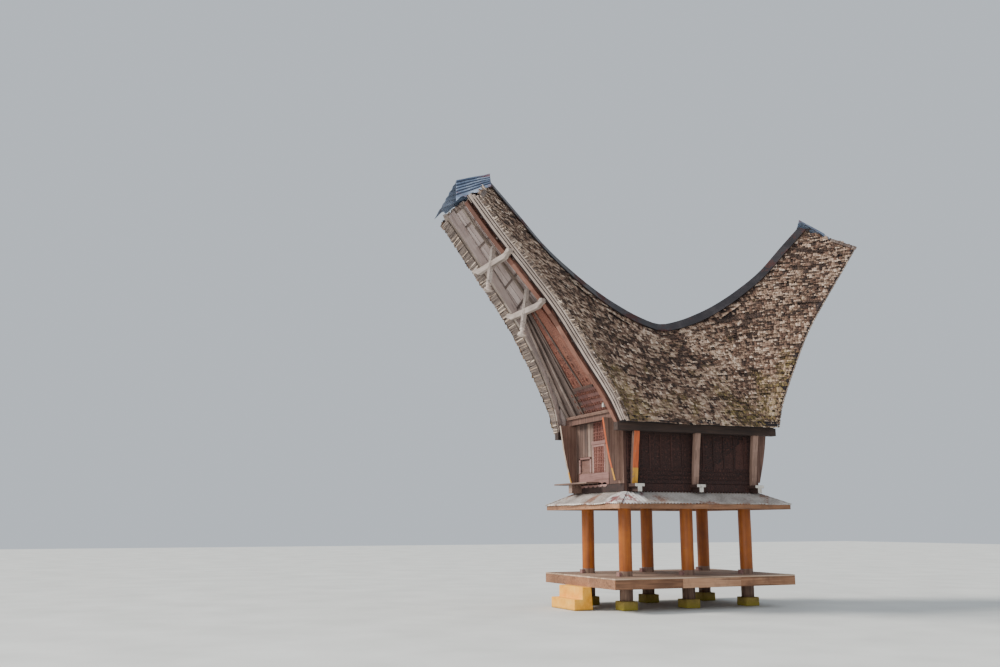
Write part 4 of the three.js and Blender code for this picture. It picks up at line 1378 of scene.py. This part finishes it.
def makeSkirtPaint():
    paint = Paint("skirtIron")
    cloud = paint.noise(1.8, 5, 0.65)
    speck = paint.noise(22, 4, 0.7)
    mixed = cloud * 0.65 + speck * 0.35
    colour = paint.ramp(mixed, [(0.25, "756a66"), (0.42, "a79d96"), (0.55, "c9c2bb"), (0.75, "e6e4e0")])
    rust = paint.step(paint.noise(1.3, 6, 0.7), 0.52, 0.62)
    colour = paint.blend(rust * 0.75, colour, paint.ramp(speck, [(0.3, "6b4130"), (0.7, "a06a4c")]))
    # An old white and red painted patch at the near corner.
    x, y = paint.axis("X"), paint.axis("Y")
    far = (x - 1.25) * (x - 1.25) + (y + 1.75) * (y + 1.75) * 0.8
    near = 1 - paint.step(far + (paint.noise(3, 4, 0.6) - 0.5) * 0.35, 0.12, 0.2)
    red = paint.step(paint.noise(4.5, 4, 0.6), 0.5, 0.6)
    colour = paint.blend(near * 0.85, colour, paint.blend(red, "dcd8d6", "8a4747"))
    return paint.surface(colour, rust * 0.3 + 0.45, 0.2, speck, 0.3, 0.004)


def makePostPaint():
    # Bright enamel, chipped, with the lowest part left bare.
    paint = Paint("postEnamel")
    z = paint.axis("Z")
    fibres = paint.noise(18, 4, 0.6, paint.squeezed((1, 1, 0.08)))
    cloud = paint.noise(2.5, 4, 0.6)
    colour = paint.ramp(fibres * 0.5 + cloud * 0.5, [(0.25, "6c3400"), (0.5, "9c5000"), (0.75, "bc6c00")])
    worn = paint.step(paint.noise(7, 5, 0.7) + fibres * 0.2, 0.74, 0.8)
    colour = paint.blend(worn * 0.7, colour, "6e4a36")
    edge = stand["deckTop"] + stand["bare"]
    bare = 1 - paint.step(z + (paint.noise(9, 3, 0.6) - 0.5) * 0.03, edge - 0.006, edge + 0.006)
    colour = paint.blend(bare, colour, paint.ramp(fibres, [(0.3, "5d4438"), (0.6, "8d7262")]))
    return paint.surface(colour, bare * 0.3 + 0.48, 0.0, fibres, 0.25, 0.004)


def makeStrutPaint(name, upper):
    # One colour above and yellow at the foot, both flaking.
    paint = Paint(name)
    fibres = paint.noise(22, 4, 0.6, paint.squeezed((1, 1, 0.08)))
    foot = 1 - paint.step(paint.axis("Z") + (paint.noise(8, 3, 0.6) - 0.5) * 0.04, 2.79, 2.81)
    yellow = paint.ramp(fibres, [(0.3, "b3781c"), (0.7, "e0a93c")])
    colour = paint.blend(foot, paint.ramp(fibres, upper), yellow)
    chips = paint.step(paint.noise(11, 5, 0.7), 0.6, 0.66)
    colour = paint.blend(chips * 0.7, colour, "8d7a70")
    return paint.surface(colour, chips * 0.3 + 0.5, 0.0, fibres, 0.3, 0.004)


def makeWhitePaint():
    paint = Paint("flakedWhite")
    cloud = paint.noise(6, 5, 0.7)
    colour = paint.ramp(cloud, [(0.3, "7e746c"), (0.48, "c5bfb6"), (0.75, "e6e2da")])
    return paint.surface(colour, 0.75, 0.0, cloud, 0.3, 0.004)


def makeMasonry(name, stops, dirt, moss, mossTop):
    # Rendered masonry, stained, with moss creeping up from the ground.
    paint = Paint(name)
    cloud = paint.noise(4, 5, 0.65)
    grit = paint.noise(60, 3, 0.7)
    colour = paint.ramp(cloud * 0.75 + grit * 0.25, stops)
    stains = paint.step(paint.noise(5, 6, 0.7, paint.squeezed((1, 1, 0.35))), 0.56, 0.72)
    colour = paint.blend(stains * 0.5, colour, dirt)
    damp = 1 - paint.step(paint.axis("Z") + (paint.noise(6, 4, 0.7) - 0.5) * mossTop, 0.0, mossTop)
    colour = paint.blend(damp * 0.8, colour, moss)
    return paint.surface(colour, 0.9, 0.0, grit + cloud, 0.4, 0.006)


threeTones = (0.25, 0.5, 0.8)
softTones = (0.25, 0.5, 0.75)
fourTones = (0.25, 0.45, 0.65, 0.85)
greyTones = (0.25, 0.45, 0.62, 0.85)
woods = [
    # Name, run of the grain, how fine it is, where the tones lie and the tones, and what else timber takes.
    ("edgeCane", "x", 30, softTones, "3b2f2a 6e5f56 938479", {"spread": 0.32}),
    ("soffitWood", "prow", 24, softTones, "857570 b8a6a0 d6c9c3", {"spread": 0.12}),
    ("battenWood", "prow", 24, softTones, "352b27 5d4f49 7d6d65", {}),
    ("paleEdgeWood", "prow", 26, (0.2, 0.45, 0.65, 0.85), "76675e ad9c91 d2c3b8 eadfd6", {}),
    ("barWood", "x", 26, fourTones, "5c5049 988b82 beb1a8 dad0c8", {"bump": 0.8, "dirt": "66554b"}),
    ("salmonWood", "prow", 30, fourTones, "4c2f25 774e3f 946655 bf9b8b", {"dirt": "5a3d33"}),
    ("greyBoard", "prow", 28, threeTones, "51453f 8f8075 b9aa9e", {}),
    ("greyWood", "z", 30, greyTones, "32241f 674f45 8a7163 b8a191", {"dirt": "4a403c"}),
    ("greyRail", "x", 30, greyTones, "32241f 674f45 8a7163 b8a191", {}),
    ("gableGrey", "prow", 28, threeTones, "352823 6a5850 a3948a", {"dirt": "2e211c"}),
    ("brownRail", "x", 28, threeTones, "3b2820 6b4a3f 94736a", {}),
    ("brownWood", "z", 28, threeTones, "33231e 674a3f a08070", {}),
    ("gableRed", "prow", 28, threeTones, "2f120a 5e2b1c 9f6b57", {"dirt": "3a2019", "carved": 6.5}),
    ("gableDark", "prow", 28, threeTones, "33191a 65403a 916a62", {"dirt": "241312"}),
    ("redWood", "z", 28, threeTones, "452219 75453a 9a6c60", {"dirt": "3a2019"}),
    ("pinkWood", "x", 28, threeTones, "6a4a42 957069 bd9f96", {"dirt": "5a3d36"}),
    ("darkWood", "z", 26, threeTones, "2b1a16 5a3d33 8a6a5c", {}),
    # Painted shade: the eave plates are near black, for the shade under the eaves.
    ("shadedEaveWood", "y", 26, threeTones, "18110f 33251f 5a443a", {}),
    ("darkRail", "y", 26, threeTones, "1f1412 432d27 6b4f45", {}),
    # The side walls: partly their own dark red-brown, partly painted shade from the eaves above them.
    ("carvedWood", "z", 26, threeTones, "140908 2c1713 56342d", {"carved": 9}),
    ("carvedDots", "z", 26, threeTones, "281410 4c2e27 785247", {}),
    ("paleDeck", "y", 22, threeTones, "8a705a bda088 dcc6b0", {}),
    ("deckWood", "y", 22, threeTones, "5f4a3a 927561 b99c84", {"dirt": "4d3a32"}),
    ("fasciaWood", "y", 26, threeTones, "5e3f2c 9c7052 cb9f7e", {"dirt": "5a3d30"}),
    ("paleBrown", "z", 26, threeTones, "6d5548 96786a bda294", {}),
]
hoodTones = [(0.3, "212c42"), (0.5, "7485a0"), (0.72, "c4cede")]
insideTones = [(0.3, "4e5b6f"), (0.5, "7b8aa1"), (0.75, "a9b6c8")]
ridgeTones = [(0.3, "1f1c1e"), (0.5, "353033"), (0.75, "57504f")]
ochreTones = [(0.3, "da8e20"), (0.5, "f8b03c"), (0.75, "ffce68")]
mossyTones = [(0.3, "6b5c34"), (0.5, "9c8744"), (0.75, "bfa75c")]


def makePaints():
    for name, tones, endTones in caneTones:
        makeShinglePaint(name, list(zip((0.2, 0.5, 0.8), tones)))
        makeEndPaint(f"{name}End", list(zip((0.1, 0.5, 0.9), endTones)))
    makeUnderPaint()
    for name, run, fineness, places, tones, more in woods:
        timber(name, list(zip(places, tones.split())), run, fineness, **more)
    makeIronPaint("hoodIron", hoodTones, ("5d3a33", "9a5a50"), 0.25, True)
    makeIronPaint("hoodInside", insideTones, ("4a3a38", "6d5650"), 0.2)
    makeIronPaint("ridgeIron", ridgeTones, ("3c2220", "5a342e"), 0.45)
    makeSkirtPaint()
    makePostPaint()
    makeStrutPaint("strutEnamel", [(0.3, "98401a"), (0.7, "cf642c")])
    makeStrutPaint("paleStrut", [(0.3, "94806f"), (0.7, "c9b5a5")])
    makeWhitePaint()
    makeMasonry("ochre", ochreTones, "bc7c2c", "947a40", 0.05)
    makeMasonry("mossy", mossyTones, "5f5236", "93862a", 0.16)


# The CAD nodes that keep their own shape, by the paint they get
nodePaints = {
    "ridgeIron": ["ridge_strip_front", "ridge_strip_rear"],
    "darkWood": ["front_wall", "rear_wall"],
    "brownRail": ["hatch_panel"],
    # The side walls are partly their own dark red-brown, partly painted shade from the eaves.
    "carvedWood": ["left_wall", "right_wall"],
    # Painted shade: the eave plates take the near black paint of the shade under the eaves.
    "shadedEaveWood": ["eave_plate_left", "eave_plate_right"],
    "darkRail": ["floor_beam_left", "floor_beam_right"],
    "deckWood": ["barn_floor"],
    "fasciaWood": ["skirt_frame", "platform_frame"],
}

makeCamera()
makeStudio()
makePaints()
for paint, names in nodePaints.items():
    for name in names:
        nodes[name].material_slots[0].material = bpy.data.materials[paint]
print("paints mixed")

for side in sides:
    layUnderRoof(side)
    layShingles(side)
    for end in ends:
        layEdgeLayers(end, side)
        makeSoffit(end, side)
        layFringe(end, side)
for end in ends:
    makeEdgeBoards(end, "right")
    dressed(f"barge_board_{end}_right", ["salmonWood"])
    paints = ["greyBoard", "soffitWood"]
    dressed(f"barge_board_{end}_left", paints, lambda face: face.normal.x > 0.5)
print("roof laid")

for end in ends:
    makeHood(end)
    for level in ("lower", "upper"):
        makeCrossbar(end, level)
    makeGablePlanks(end)
    makeGableTrim(end)
    makeFrontBoards(end)
print("ends built")

for side, enamel in (("left", "paleStrut"), ("right", "strutEnamel")):
    makeSideTrim(side)
    paints = ["greyWood", "strutEnamel"]
    dressed(f"strut_{side}_front", paints, lambda face: abs(face.normal.x) > 0.5)
    for row in ("middle", "rear"):
        dressed(f"strut_{side}_{row}", ["paleBrown"])
    for end in ends:
        paints = ["brownWood", enamel]
        dressed(f"strut_{end}_{side}", paints, lambda face: abs(face.normal.y) > 0.5)
    for row in stand["rows"]:
        makePost(row, side)
        makeFooting(f"footing_{row}_{side}")
for row in stand["rows"]:
    # The T-shaped ends are painted white.
    paints = ["darkRail", "flakedWhite"]
    dressed(f"cross_beam_{row}", paints, lambda face: abs(face.calc_center_median().x) > 1.2)
print("body built")

for axis, sign, name in (("X", -1, "left"), ("X", 1, "right"), ("Y", -1, "front"), ("Y", 1, "rear")):
    makeSkirtSheets(axis, sign, name)
makeHips()
makeDeck()
makeFascia()
dressed("entrance_steps", ["ochre"], rounding=0.012)
dressed("entry_ledge", ["greyRail"], rounding=0.006)
print("platform built")
